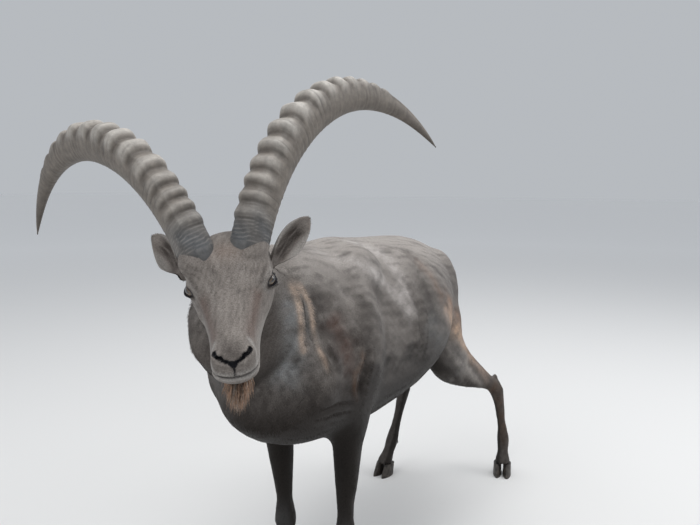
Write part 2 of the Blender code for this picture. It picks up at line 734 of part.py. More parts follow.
def horn_line(shape, steps=400):
    """Points, directions and back directions along a horn, in the head's frame."""
    side, rise, splay = shape["side"], math.radians(shape["rise"]), math.radians(shape["splay"])
    turn = math.radians(shape["turn"])
    along = np.array((side * math.sin(splay), -math.cos(rise) * math.cos(splay), math.sin(rise) * math.cos(splay)))
    back = np.array((0.0, -math.sin(rise), -math.cos(rise)))
    back -= along * (back @ along)
    back /= np.linalg.norm(back)
    out = np.cross(along, back)
    back = back * math.cos(turn) + side * out * math.sin(turn)
    place = np.array((side * HORN_BASE.x, HORN_BASE.y, HORN_BASE.z))
    found = []
    step = HORN_LENGTH / steps
    for i in range(steps + 1):
        fade = max(0.0, 1 - i / steps / HORN_FOOT_SHARE) ** 2
        found.append((place + np.array((*shape["foot"], 0.0)) * fade, along.copy(), back.copy()))
        t = (i + 0.5) / steps
        bend = shape["bend"][0] + shape["bend"][1] * t + shape["bend"][2] * t * t
        out = np.cross(along, back)
        turned = along + bend * back * step
        back = back + (-bend * along + side * shape["twist"] * out) * step
        along = turned / np.linalg.norm(turned)
        back -= along * (back @ along)
        back /= np.linalg.norm(back)
        place = place + along * step
    return found


def knob_height(t, crests):
    """How far the front of the horn stands out at the share t of its length: 1 on the tallest crest."""
    found = 0.0
    for i, crest in enumerate(crests):
        before = crest - (crests[i - 1] if i else 0.02)
        after = (crests[i + 1] if i + 1 < len(crests) else crest + 0.05) - crest
        tall = min(1.0, KNOB_FIRST + crest * KNOB_GROWTH) * min(1.0, (KNOBS_END - crest) / KNOB_FADE)
        if crest - KNOB_STEEP * before < t <= crest:
            found = max(found, tall * (1 - ((crest - t) / (KNOB_STEEP * before)) ** 2))
        elif crest < t < crest + (1 - KNOB_STEEP) * after:
            found = max(found, tall * (0.5 + 0.5 * math.cos(math.pi * (t - crest) / ((1 - KNOB_STEEP) * after))))
    return found


def horn_rings(crests):
    """Shares of the horn's length with a ring on each crest, beside it and in the hollow before the next."""
    found = [0.0, 0.025, crests[0] - 0.012]
    for crest, following in zip(crests, crests[1:]):
        found += [crest + (following - crest) * share for share in (0.0, 0.33, 1 - KNOB_STEEP, 0.86)]
    found += list(np.linspace(crests[-1], 1.0, 12))
    return found


def horn(name, shape, crests):
    """A horn of rounded three-sided section, flat and knobbed in front and narrow behind."""
    line = horn_line(shape)
    shares = horn_rings(crests)
    rings = []
    for i in range(-1, len(shares)):
        t = shares[max(i, 0)]
        place, along, back = line[round(t * (len(line) - 1))]
        if i < 0:
            place = place - along * HORN_ROOT
        across = np.cross(along, back)
        size = (1 - 0.10 * t) * max(0.0, 1 - max(0.0, (t - 0.28) / 0.72) ** 1.7) ** 0.72
        size = max(size, 0.045)
        knob = knob_height(t, crests)
        half_w, half_d = HORN_WIDTH / 2 * size * (1 - 0.06 * t), HORN_DEPTH / 2 * size
        ring = []
        for k in range(HORN_SIDES):
            angle = 2 * math.pi * k / HORN_SIDES
            c, s = math.cos(angle), math.sin(angle)
            front = max(0.0, -s)
            x = np.sign(c) * abs(c) ** 0.66 * half_w * (1 - 0.34 * max(0.0, s))
            y = np.sign(s) * abs(s) ** 0.76 * half_d
            y -= front**0.5 * knob * HORN_KNOB
            x *= 1 + 0.10 * knob * min(1.0, front * 2)
            ring.append(place + across * x + back * y)
        rings.append(ring)
    points = [p for ring in rings for p in ring]
    count = len(rings) - 1
    faces = [tuple(range(HORN_SIDES))]
    for i in range(count):
        for k in range(HORN_SIDES):
            after = (k + 1) % HORN_SIDES
            a, b = i * HORN_SIDES, (i + 1) * HORN_SIDES
            faces += [(a + k, b + k, b + after), (a + k, b + after, a + after)]
    faces.append(tuple(range(count * HORN_SIDES, (count + 1) * HORN_SIDES)))
    return triangulated(mesh_object(name, points, faces, HEAD_FRAME))


def lock(name, root, tip, width, thick, sway):
    """A flat tapered lock from its root to its tip, bent by the sway."""
    root, tip, sway = Vector(root), Vector(tip), Vector(sway)
    centres, halves = [], []
    for k in range(4):
        t = k / 3
        centres.append(root.lerp(tip, t) + sway * math.sin(math.pi * t * 0.8))
        halves.append(width / 2 * (1.0, 0.95, 0.62, 0.14)[k])
    return tube(name, centres, (1, 0.2, 0), halves, [h * thick / (width / 2) for h in halves], None, 5, 2.0)


def union_of(name, pieces):
    """The pieces fused into one closed body by a single union."""
    group = bpy.data.collections.new(name + "_pieces")
    bpy.context.scene.collection.children.link(group)
    first, others = pieces[0], pieces[1:]
    for piece in others:
        group.objects.link(piece)
    join = first.modifiers.new("join", "BOOLEAN")
    join.operation = "UNION"
    join.solver = "MANIFOLD"
    join.operand_type = "COLLECTION"
    join.collection = group
    apply_modifiers(first)
    first.name = name
    for piece in others:
        bpy.data.objects.remove(piece, do_unlink=True)
    bpy.data.collections.remove(group)
    return largest_shell(triangulated(first))


def beard():
    """Tapered locks under the chin, hanging straight down from a small pad."""
    rng = np.random.default_rng(7)
    pad = ball("beard_pad", (0, 0.115, -0.088), (0.019, 0.030, 0.012), HEAD_FRAME, 8)
    pieces = [pad]
    down = Vector((0.02, -0.06, -1.0)).normalized()
    for i in range(BEARD_LOCKS):
        u, v = (i % 4) / 3 - 0.5, (i // 4) / max(1, (BEARD_LOCKS - 1) // 4) - 0.5
        local = Vector((u * 0.028, 0.115 + v * 0.044, -0.090))
        root = HEAD_FRAME @ local
        reach = BEARD_LENGTH * (0.72 + 0.28 * rng.random()) * (1 - 0.5 * abs(u)) * (0.78 + 0.3 * (0.5 - abs(v)))
        spread = Vector((rng.normal() * 0.10 + u * 0.25, rng.normal() * 0.07, 0))
        tip = root + (down + spread * 0.5).normalized() * reach
        sway = Vector((rng.normal() * 0.003, 0.004 + rng.normal() * 0.002, 0))
        pieces.append(lock(f"beard_lock_{i}", root, tip, 0.0105, 0.0028, sway))
    return union_of("beard", pieces)


def tail():
    """The short tail, hanging over the rump, with a brush of locks."""
    root = Vector((0.0, 0.728, 0.752))
    tip = root + Vector((0.0, 0.068, -TAIL_LENGTH * 0.78))
    rows = [
        ((root.x, root.y - 0.02, root.z + 0.012), 0.026, 0.020),
        ((root.x, root.y + 0.012, root.z - 0.008), 0.024, 0.017),
        ((root.x, root.y + 0.040, root.z - 0.042), 0.021, 0.012),
        ((tip.x, tip.y - 0.012, tip.z + 0.030), 0.016, 0.008),
        ((tip.x, tip.y, tip.z), 0.006, 0.004),
    ]
    stem = tube(
        "tail_stem",
        smooth_rows([r[0] for r in rows], 2),
        (1, 0, 0),
        smooth_rows([[r[1]] for r in rows], 2)[:, 0],
        smooth_rows([[r[2]] for r in rows], 2)[:, 0],
        None,
        10,
        2.0,
    )
    pieces = [triangulated(stem)]
    for i, x in enumerate((-0.016, -0.008, 0.0, 0.008, 0.016)):
        start = Vector((x * 0.8, root.y + 0.040, root.z - 0.044))
        end = Vector((x * 1.1, tip.y + 0.006, tip.z - 0.020 + abs(x) * 0.9))
        pieces.append(lock(f"tail_lock_{i}", start, end, 0.013, 0.0042, (0, 0.004, 0)))
    return union_of("tail", pieces)


def claw(leg, side):
    """One half of the cloven hoof, flat underneath, with its toe rounded."""
    place = toe_frame(leg)
    outline = []
    for k in range(14):
        angle = 2 * math.pi * k / 14
        c, s = math.cos(angle), math.sin(angle)
        along = s * (1.0 if s > 0 else 0.86)
        outline.append((c * (1 - 0.30 * max(0.0, s) ** 1.5), along))
    levels = ((0.0, 1.0, 0.0), (0.006, 1.02, -0.001), (0.022, 0.90, -0.006), (CLAW_TOP - 0.0002, 0.76, -0.013))
    points = []
    for height, share, lean in levels:
        for x, y in outline:
            half = CLAW_WIDTH / 2
            cx = side * (CLEFT / 2 + half)
            px = cx + x * half * (0.88 + 0.12 * share)
            if side * px < CLEFT / 2:
                px = side * CLEFT / 2
            points.append((px, 0.010 + lean + y * CLAW_LENGTH / 2 * share, height))
    ring = len(outline)
    faces = [tuple(range(ring))]
    for i in range(len(levels) - 1):
        for k in range(ring):
            a, b = i * ring + k, i * ring + (k + 1) % ring
            faces.append((a, b, b + ring, a + ring))
    faces.append(tuple(range((len(levels) - 1) * ring, len(levels) * ring)))
    made = mesh_object(f"claw_{leg}_{'left' if side > 0 else 'right'}", points, faces, place)
    made.data.materials.append(material("hoof"))
    return triangulated(made)


def dress(obj, name):
    obj.data.materials.clear()
    obj.data.materials.append(material(name))
    obj.data.shade_smooth()
    obj.data.set_sharp_from_angle(angle=math.radians(40))


def centre_over_origin():
    """Moves the whole animal so that the middle of its bounding box is over the origin and its soles are at z = 0."""
    points = np.array([tuple(v.co) for obj in bpy.data.objects for v in obj.data.vertices])
    low, high = points.min(axis=0), points.max(axis=0)
    shift = Vector((-(low[0] + high[0]) / 2, -(low[1] + high[1]) / 2, -low[2]))
    for obj in bpy.data.objects:
        obj.data.transform(Matrix.Translation(shift))


def main():
    head = build_head()
    body = fused("torso", body_lofts() + [head_loft("head_stub")], BODY_VOXEL, BODY_ROUNDS, BODY_TRIANGLES)
    boolean(body, half_space(*HEAD_CUT, -GAP / 2, HEAD_CUT_WIDTH), "DIFFERENCE")
    largest_shell(triangulated(body))
    nodes = {"head": head, "torso": body}
    for leg, (reach, upper, lower) in LEG_CUTS.items():
        whole = split_off(body, f"leg_{leg}_upper", prism(*upper, reach, -GAP / 2), prism(*upper, reach, GAP / 2))
        floor = prism((0, 0, CLAW_TOP), (0, 0, 1), reach, GAP)
        boolean(whole, floor, "DIFFERENCE")
        around = (reach[0] - 0.1, reach[1] + 0.1, reach[2] - 0.1, reach[3] + 0.1)
        shank = split_off(
            whole, f"leg_{leg}_lower", prism(*lower, around, -GAP / 2), prism(*lower, around, GAP / 2)
        )
        nodes[whole.name], nodes[shank.name] = whole, shank
        for side in (1, -1):
            claw(leg, side)
    neck = split_off(body, "neck", half_space(*NECK_CUT, GAP / 2), half_space(*NECK_CUT, -GAP / 2))
    nodes["neck"] = neck
    for side, name in ((1, "left"), (-1, "right")):
        horned = fit_to(horn(f"horn_{name}", HORN_SHAPE[name], HORN_CRESTS[name]), head)
        dress(horned, "horn")
        eared = ear(side)
        fit_to(fit_to(eared, head), horned)
        dress(eared, "coat")
        eye(side)
    dress(fit_to(beard(), head), "beard")
    dress(fit_to(tail(), body), "dark_coat")
    for name, node in nodes.items():
        dress(node, "dark_coat" if "leg" in name else "coat")
    centre_over_origin()


main()
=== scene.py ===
"""Looks of the alpine ibex buck: skin, coat, horns, eyes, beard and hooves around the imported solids.

Metres, +Z up. The animal faces -Y. Places on the body are in the animal's own frame, which SHIFT moves
into place. Places on the head are in the head's frame: x to its left, y forward along the face, z up off it.
"""

import math

import bmesh
import bpy
import numpy as np
from mathutils import Matrix, Vector
from mathutils.bvhtree import BVHTree


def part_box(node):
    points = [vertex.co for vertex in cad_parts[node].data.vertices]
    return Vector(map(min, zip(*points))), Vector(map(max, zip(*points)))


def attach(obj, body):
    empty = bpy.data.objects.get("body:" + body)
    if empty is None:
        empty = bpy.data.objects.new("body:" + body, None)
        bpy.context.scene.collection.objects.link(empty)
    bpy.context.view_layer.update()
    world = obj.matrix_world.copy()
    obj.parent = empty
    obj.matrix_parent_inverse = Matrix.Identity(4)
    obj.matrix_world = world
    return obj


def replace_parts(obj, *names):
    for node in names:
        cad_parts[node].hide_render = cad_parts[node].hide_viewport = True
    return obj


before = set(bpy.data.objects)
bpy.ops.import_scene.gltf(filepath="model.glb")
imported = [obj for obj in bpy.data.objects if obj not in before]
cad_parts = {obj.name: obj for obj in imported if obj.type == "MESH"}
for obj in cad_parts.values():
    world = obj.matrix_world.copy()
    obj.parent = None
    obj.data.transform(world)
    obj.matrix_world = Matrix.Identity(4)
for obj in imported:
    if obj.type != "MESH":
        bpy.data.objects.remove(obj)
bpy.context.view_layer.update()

SIDES = ((1, "left"), (-1, "right"))

# The head's pose, eyes and ears, as in the solids.
HEAD_AT = Vector((0.040, -0.463, 0.853))
HEAD_YAW, HEAD_PITCH, HEAD_ROLL = math.radians(32.0), math.radians(30.0), math.radians(8.2)
EYE_AT = Vector((0.0630, -0.012, -0.023))
EYE_FACING = Vector((0.82, 0.40, 0.36)).normalized()
EAR_LENGTH, EAR_WIDTH, EAR_THICK, EAR_ROOT, EAR_SUNK = 0.096, 0.048, 0.0042, -0.16, -0.34
EAR_AT = {1: Vector((0.080, -0.076, -0.026)), -1: Vector((-0.086, -0.078, -0.022))}
EAR_ALONG = {1: Vector((0.70, -0.65, 0.30)), -1: Vector((-0.50, -0.84, 0.16))}

# The seen eyeball lies a little deeper than the solid one, under a round filled in for its lids. The lids'
# edge at the corners and in the middle is in degrees off the eye's facing, their spread in degrees past it.
BALL_RADIUS, BALL_DEEPER, BALL_COVER = 0.0142, 0.0030, 0.0038
BALL_AT = np.array(EYE_AT - EYE_FACING * BALL_DEEPER)
LID_CORNER, LID_MIDDLE = 55.0, 21.0
LID_THICK, LID_ROLL, LID_ROLL_WIDTH = 0.0010, 0.0012, 7.0
LID_BACK, LID_FULL, LID_SPREAD, LID_DRAW = 140, 112, 26, 0.7
BALL_CLEAR, EYE_REACH = 0.0014, 0.034

# The plane between head and neck: a place on it and its direction, in the animal's own frame.
HEAD_CUT = (np.array((-0.022, -0.357, 0.800)), np.array((0.41, -0.90, 0.12)))
# The fine skin starts a little behind it. The seam's middle, depth and reach round the head, in metres.
SEAM_BACK, SEAM_MIDDLE, SEAM_SINK, SEAM_REACH = 0.028, 0.022, 0.0035, 0.46

# Horns, as in the solids. Crests are shares of the horn's length.
HORN_LENGTH, HORN_DEPTH, HORN_WIDTH = 0.79, 0.077, 0.060
HORN_BASE = Vector((0.0385, -0.064, 0.004))
HORN_FOOT_SHARE, HORN_ROOT, HORN_KNOB = 0.45, 0.030, 0.0125
KNOB_STEEP, KNOB_FIRST, KNOB_GROWTH, KNOBS_END, KNOB_FADE = 0.34, 0.30, 2.2, 0.86, 0.34
HORN_CRESTS = {
    "left": (
        0.062, 0.100, 0.138, 0.178, 0.226, 0.280, 0.342, 0.406, 0.468, 0.524, 0.578, 0.630, 0.680, 0.726
    ),
    "right": (
        0.064, 0.098, 0.132, 0.172, 0.224, 0.290, 0.350, 0.408, 0.470, 0.538, 0.606, 0.668, 0.728, 0.784
    ),
}
# Angles in degrees, twist in radians a metre, the foot's shift in metres. The bend, in radians a metre, is
# worked out from its three numbers and the share of the length, its first power and its square.
HORN_SHAPE = {
    "left": dict(
        side=1, rise=44.6, splay=17.9, bend=(2.11, 1.26, -0.48), turn=27.8, twist=0.66, foot=(0.002, -0.014)
    ),
    "right": dict(
        side=-1, rise=44.3, splay=21.1, bend=(2.33, 1.27, -0.50), turn=29.3, twist=0.39, foot=(-0.015, -0.006)
    ),
}
HORN_RINGS, HORN_SIDES = 400, 48

# The coat's depth over the skin and its tufts' length, in metres.
BODY_DEPTH, FACE_DEPTH, MUZZLE_DEPTH, EAR_DEPTH = 0.0065, 0.0026, 0.0011, 0.0004
BODY_HAIR, RUMP_HAIR, LEG_HAIR = 0.0128, 0.020, 0.0115
FACE_HAIR, MUZZLE_HAIR, EAR_HAIR = 0.0085, 0.0042, 0.0060
BEARD_HAIR, BEARD_AT, BEARD_HALF_WIDTH, BEARD_HALF_DEPTH = 0.078, (0.115, -0.088), 0.017, 0.030

# How deep the small forms of the face go in, and how far their rims stand out.
MOUTH_DEEP, LIP_HIGH, RIM_HIGH, GROOVE_DEEP = 0.0024, 0.0012, 0.0012, 0.0018
NOSTRIL_DEEP, NOSTRIL_DEEPER = 0.0016, 0.0026

# How fine the skin is, and how many tufts the coat has.
FUSE_SWELL = 0.0005
BODY_VOXEL, BODY_BLUR = 0.0052, 10
HEAD_VOXEL, HEAD_BLUR = 0.0020, 9
FULL_TUFTS = 345000
TUFTS = FULL_TUFTS
BEARD_TUFTS = 3000
PIECE_TRIANGLES = 190000

# Faces of a tuft. A straight one has a root of three corners and a tip, and a bent one has three corners
# more halfway. The painted shading runs from root to tip: painted shade at the root, painted light at the
# tip. The patch is the tuft's place on the unwrap.
STRAIGHT_FACES = ((0, 2, 1), (0, 1, 3), (1, 2, 3), (2, 0, 3))
STRAIGHT_PAINTED_SHADING = (0.86, 0.86, 0.94, 1.10)
STRAIGHT_PATCH = ((-0.5, -0.5), (0.5, -0.5), (0, 0), (0, 0.5))
BENT_FACES = ((0, 2, 1), (0, 1, 4), (0, 4, 3), (1, 2, 5), (1, 5, 4)) + (
    (2, 0, 3), (2, 3, 5), (3, 4, 6), (4, 5, 6), (5, 3, 6)
)
BENT_PAINTED_SHADING = (0.6, 0.6, 0.7, 0.95, 0.95, 1.05, 1.25)
BENT_PATCH = ((-0.5, -0.5), (0.5, -0.5), (0, -0.3), (-0.3, 0), (0.3, 0), (0, 0.1), (0, 0.5))
PATCH_SIZE = 0.003

# The stage: lamps by name, place, size and power, the floor, and the camera with its angles in degrees.
LAMPS = (
    ("key", (-0.6, -2.6, 3.4), 2.4, 40),
    ("top", (0.6, 0.6, 4.2), 3.5, 118),
    ("rim", (3.2, 1.6, 2.6), 2.0, 30),
)
LAMPS_AIM = Vector((0, 0, 0.6))
FLOOR_HALF = 30.0
CAMERA_AT, CAMERA_DOWN, CAMERA_TURN, CAMERA_LENS = Vector((0.653, -1.45, 1.021)), 7.05, 22, 36.4

FLESH = [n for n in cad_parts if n.startswith(("torso", "neck", "head", "ear", "tail", "leg"))]
BODY = [n for n in FLESH if not n.startswith("ear")]

# Lines of the face on its left side, mirrored on the right. They are laid on the skin before they are used
# for its small forms and colours.
MOUTH = [
    (0.0000, 0.1760, -0.0506),
    (0.0140, 0.1740, -0.0498),
    (0.0270, 0.1675, -0.0490),
    (0.0345, 0.1500, -0.0530),
    (0.0385, 0.1260, -0.0590),
    (0.0430, 0.1000, -0.0640),
]
NOSTRIL = [
    (0.0030, 0.1710, -0.0262),
    (0.0105, 0.1685, -0.0240),
    (0.0175, 0.1635, -0.0230),
    (0.0240, 0.1575, -0.0205),
    (0.0285, 0.1490, -0.0185),
]
LIP_RIM = [
    (0.0305, 0.1290, -0.0170),
    (0.0350, 0.1380, -0.0320),
    (0.0330, 0.1560, -0.0440),
    (0.0207, 0.1709, -0.0560),
    (0.0000, 0.1739, -0.0570),
]

# Colours of the skin and the coat, the horns, the eyes and the beard.
GREY_BROWN = np.array((0.138, 0.122, 0.111))
PALE = np.array((0.340, 0.310, 0.285))
BLUISH = np.array((0.165, 0.168, 0.168))
DARK = np.array((0.034, 0.028, 0.025))
LEG_DARK = np.array((0.021, 0.018, 0.016))
RUFOUS = np.array((0.255, 0.140, 0.083))
MAROON = np.array((0.080, 0.048, 0.038))
FACE = np.array((0.208, 0.184, 0.166))
RIM = np.array((0.330, 0.310, 0.290))
NOSE = np.array((0.008, 0.008, 0.010))
EAR_IN = np.array((0.062, 0.051, 0.045))
TAWNY = np.array((0.590, 0.445, 0.345))
# Colour of the painted sheen on the shoulder blade and ribs.
PAINTED_SHEEN_SILVER = np.array((0.520, 0.480, 0.455))
ORANGE = np.array((0.520, 0.360, 0.255))
CREAM = np.array((0.460, 0.350, 0.285))
HORN_BROWN = np.array((0.165, 0.142, 0.120))
HORN_LIGHT = np.array((0.480, 0.450, 0.410))
HORN_COOL = np.array((0.070, 0.080, 0.092))
HORN_DARK = np.array((0.048, 0.039, 0.032))
EYE_SKIN, PUPIL, IRIS = (0.10, 0.08, 0.07), (0.004, 0.004, 0.006), (0.105, 0.066, 0.034)
BEARD_BROWN = np.array((0.430, 0.285, 0.205))
BEARD_GREY = np.array((0.36, 0.31, 0.27))

# Courses of colour on the body's left side, mirrored on the right, some of them painted sheen and painted
# shade: colour, strength, half width, path.
BANDS = (
    # Flank.
    (DARK, 0.55, 0.040, (
        (0.099, 0.300, 0.838), (0.162, 0.248, 0.772), (0.189, 0.234, 0.703), (0.202, 0.246, 0.643))),
    (RUFOUS, 0.28, 0.026, ((0.134, 0.287, 0.811), (0.167, 0.311, 0.772), (0.194, 0.327, 0.718))),
    # Shoulder and neck, the dark courses.
    (DARK, 0.45, 0.026, (
        (0.110, -0.108, 0.806), (0.148, -0.092, 0.754), (0.159, -0.016, 0.683), (0.163, -0.004, 0.636))),
    (DARK, 0.50, 0.030, (
        (0.132, -0.148, 0.740), (0.153, -0.136, 0.692), (0.161, -0.125, 0.635), (0.162, -0.090, 0.570))),
    (DARK, 0.75, 0.026, (
        (0.092, -0.260, 0.813), (0.106, -0.246, 0.781), (0.114, -0.238, 0.739), (0.134, -0.242, 0.696),
        (0.145, -0.225, 0.653))),
    (MAROON * 1.1, 0.90, 0.028, (
        (0.117, -0.215, 0.757), (0.130, -0.202, 0.716), (0.142, -0.188, 0.673), (0.145, -0.181, 0.600))),
    # The side's low edge, and painted shade along the belly's underside.
    (BLUISH, 0.60, 0.045, (
        (0.190, 0.205, 0.672), (0.198, 0.260, 0.600), (0.178, 0.450, 0.520), (0.185, 0.600, 0.440))),
    # Painted shade under the chest and belly, running on to the hind leg.
    (DARK * 0.6, 1.00, 0.040, (
        (0.140, -0.232, 0.596), (0.150, -0.152, 0.594), (0.167, -0.079, 0.600), (0.171, 0.046, 0.604),
        (0.189, 0.164, 0.592), (0.195, 0.212, 0.571))),
    (DARK * 0.6, 0.95, 0.046, (
        (0.188, 0.166, 0.580), (0.150, 0.480, 0.450), (0.168, 0.640, 0.375), (0.200, 0.740, 0.335))),
    (DARK, 0.70, 0.050, (
        (0.160, -0.080, 0.560), (0.165, 0.020, 0.520), (0.150, 0.160, 0.480), (0.120, 0.300, 0.460))),
    # Shoulder blade and ribs: painted silvery sheen.
    (PAINTED_SHEEN_SILVER, 0.85, 0.022, (
        (0.048, -0.145, 0.872), (0.083, -0.090, 0.849), (0.119, -0.047, 0.828), (0.128, 0.059, 0.789),
        (0.152, 0.115, 0.741), (0.170, 0.136, 0.697))),
    (PAINTED_SHEEN_SILVER, 0.80, 0.026, (
        (0.029, 0.037, 0.880), (0.061, 0.105, 0.862), (0.099, 0.152, 0.834), (0.135, 0.154, 0.789),
        (0.163, 0.150, 0.735))),
    # Withers and shoulder: painted pale sheen.
    (PALE, 0.60, 0.024, (
        (0.065, -0.291, 0.835), (0.068, -0.227, 0.858), (0.062, -0.117, 0.861), (0.095, -0.088, 0.841),
        (0.123, -0.059, 0.811))),
    (PALE, 0.55, 0.020, (
        (0.079, -0.251, 0.839), (0.094, -0.204, 0.828), (0.110, -0.155, 0.799), (0.128, -0.138, 0.762))),
    (PALE, 0.50, 0.009, ((0.109, -0.253, 0.752), (0.115, -0.225, 0.759), (0.118, -0.181, 0.771))),
    (PALE, 0.30, 0.026, (
        (0.116, -0.107, 0.798), (0.151, -0.063, 0.751), (0.159, 0.030, 0.683), (0.171, 0.057, 0.624))),
    # Behind the ribs and over the thigh.
    (DARK, 0.45, 0.014, (
        (0.152, 0.156, 0.750), (0.177, 0.173, 0.693), (0.186, 0.169, 0.638), (0.184, 0.152, 0.592))),
    (RUFOUS * 1.2, 0.70, 0.032, (
        (0.204, 0.352, 0.690), (0.200, 0.480, 0.640), (0.192, 0.640, 0.580), (0.200, 0.720, 0.500),
        (0.225, 0.830, 0.400))),
    (CREAM, 0.60, 0.016, (
        (0.204, 0.322, 0.681), (0.209, 0.380, 0.627), (0.195, 0.599, 0.545), (0.206, 0.731, 0.440),
        (0.225, 0.800, 0.365))),
    (PALE * 0.85, 0.75, 0.036, (
        (0.166, 0.480, 0.530), (0.161, 0.510, 0.512), (0.180, 0.553, 0.486), (0.192, 0.636, 0.442))),
    (PALE * 1.1, 0.85, 0.013, (
        (0.180, 0.553, 0.480), (0.192, 0.636, 0.442), (0.203, 0.704, 0.400), (0.217, 0.768, 0.351))),
    (ORANGE, 0.95, 0.024, (
        (0.206, 0.365, 0.665), (0.204, 0.421, 0.627), (0.184, 0.568, 0.567), (0.188, 0.640, 0.520),
        (0.200, 0.720, 0.460))),
    (DARK, 0.80, 0.016, ((0.155, 0.524, 0.450), (0.180, 0.609, 0.404), (0.201, 0.736, 0.338))),
    (RUFOUS, 0.50, 0.028, (
        (0.226, 0.830, 0.335), (0.240, 0.880, 0.300), (0.252, 0.900, 0.240), (0.262, 0.930, 0.130))),
    # Neck and shoulder's front, with their stripes.
    (BLUISH * 2.0, 0.95, 0.030, (
        (0.078, -0.309, 0.795), (0.080, -0.323, 0.760), (0.083, -0.321, 0.738), (0.079, -0.322, 0.704),
        (0.071, -0.323, 0.666))),
    (TAWNY, 0.88, 0.0072, (
        (0.067, -0.295, 0.828), (0.084, -0.299, 0.797), (0.093, -0.302, 0.744), (0.095, -0.299, 0.700))),
    (TAWNY, 0.78, 0.0056, (
        (0.073, -0.287, 0.830), (0.096, -0.276, 0.789), (0.105, -0.271, 0.739), (0.117, -0.278, 0.703),
        (0.134, -0.276, 0.665))),
    (RUFOUS, 0.60, 0.007, (
        (0.154, -0.140, 0.669), (0.157, -0.137, 0.644), (0.148, -0.163, 0.626), (0.146, -0.168, 0.591),
        (0.147, -0.146, 0.560))),
)

# Soft folds of the skin on the left side, mirrored on the right: depth, half width, path.
FOLDS = (
    (0.0022, 0.0060, (
        (0.080, -0.296, 0.812), (0.094, -0.288, 0.780), (0.101, -0.286, 0.744), (0.106, -0.288, 0.700))),
    (0.0026, 0.0065, (
        (0.084, -0.272, 0.826), (0.104, -0.258, 0.785), (0.112, -0.254, 0.739), (0.126, -0.260, 0.696),
        (0.140, -0.246, 0.650))),
    (0.0065, 0.0080, (
        (0.156, -0.130, 0.690), (0.160, -0.122, 0.655), (0.154, -0.136, 0.626), (0.150, -0.146, 0.591),
        (0.150, -0.132, 0.556))),
    (0.0050, 0.0070, ((0.112, -0.282, 0.573), (0.134, -0.218, 0.570), (0.149, -0.142, 0.552))),
    (0.0050, 0.0110, (
        (0.132, 0.130, 0.800), (0.160, 0.170, 0.742), (0.184, 0.180, 0.693), (0.192, 0.176, 0.638),
        (0.188, 0.158, 0.580))),
    (0.0040, 0.0090, ((0.122, -0.190, 0.776), (0.138, -0.168, 0.716), (0.150, -0.150, 0.660))),
)


def head_matrix():
    """The head's frame: x to its left, y forward along the face, z up off the face."""
    ahead = Vector((math.sin(HEAD_YAW), -math.cos(HEAD_YAW), 0.0))
    left = Vector((math.cos(HEAD_YAW), math.sin(HEAD_YAW), 0.0))
    up = Vector((0.0, 0.0, 1.0))
    forward = ahead * math.cos(HEAD_PITCH) - up * math.sin(HEAD_PITCH)
    crown = up * math.cos(HEAD_PITCH) + ahead * math.sin(HEAD_PITCH)
    across = left * math.cos(HEAD_ROLL) + crown * math.sin(HEAD_ROLL)
    crown = crown * math.cos(HEAD_ROLL) - left * math.sin(HEAD_ROLL)
    turned = Matrix((across, forward, crown)).transposed().to_4x4()
    return Matrix.Translation(HEAD_AT) @ turned


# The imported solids' left eye says where the animal's own frame lies.
eye_low, eye_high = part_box("eye_left")
SHIFT = (eye_low + eye_high) / 2 - head_matrix() @ EYE_AT
HEAD_FRAME = Matrix.Translation(SHIFT) @ head_matrix()
HEAD_TURN = np.array(HEAD_FRAME.to_3x3())
HEAD_ORIGIN = np.array(HEAD_FRAME.translation)
OFFSET = np.array(SHIFT)


# Small tools


def to_head(points):
    return (points - HEAD_ORIGIN) @ HEAD_TURN


def from_head(points):
    return np.asarray(points, float) @ HEAD_TURN.T + HEAD_ORIGIN


def mirrored(points):
    """The points with the right side's laid on the left."""
    return np.hstack([np.abs(points[:, :1]), points[:, 1:]])


def smoothstep(low, high, x):
    t = np.clip((x - low) / (high - low), 0.0, 1.0)
    return t * t * (3 - 2 * t)


def hump(x, width):
    """1 at zero, fading to both sides over the width."""
    return np.exp(-((x / width) ** 2))


def distance(points, place):
    """How far each point lies from the place."""
    return np.linalg.norm(points - place, axis=1)


def blend(value, other, share):
    return value * (1 - share) + other * share


def mix(colour, other, share):
    """One colour for each point, moved towards another by the point's share."""
    return blend(colour, other, share[:, None])


def unit(v):
    return v / np.maximum(np.linalg.norm(v, axis=-1, keepdims=True), 1e-12)


def waves(points, scale, seed, octaves):
    """A smooth made-up field from -1 to 1, with features about `scale` metres across."""
    rng = np.random.default_rng(seed)
    total, weight = np.zeros(len(points)), 0.0
    for octave in range(octaves):
        size = scale / 2**octave
        for _ in range(5):
            way = unit(rng.normal(size=3)) * (2 * math.pi / size) * rng.uniform(0.6, 1.2)
            total += np.sin(points @ way + rng.uniform(0, 2 * math.pi)) * 0.5**octave
        weight += 5 * 0.5**octave
    return total / weight * 1.8


def near_path(points, path):
    """Distance to the path through the given points, and how far along it the nearest point lies, 0 to 1."""
    path = np.asarray(path, float)
    best = np.full(len(points), 1e9)
    share = np.zeros(len(points))
    for i in range(len(path) - 1):
        a, d = path[i], path[i + 1] - path[i]
        t = np.clip((points - a) @ d / (d @ d), 0, 1)
        gap = np.linalg.norm(points - a - t[:, None] * d, axis=1)
        closer = gap < best
        best[closer] = gap[closer]
        share[closer] = (i + t[closer]) / (len(path) - 1)
    return best, share


def linked(name, data):
    """A new object of the scene."""
    made = bpy.data.objects.new(name, data)
    bpy.context.scene.collection.objects.link(made)
    return made


def removed(obj):
    """Takes the object out of the scene and returns its points and triangles."""
    found = arrays(obj)
    bpy.data.objects.remove(obj, do_unlink=True)
    return found


def changed(obj, change):
    """Runs one change on the object's mesh, opened for it."""
    work = bmesh.new()
    work.from_mesh(obj.data)
    change(work)
    work.to_mesh(obj.data)
    work.free()
    return obj


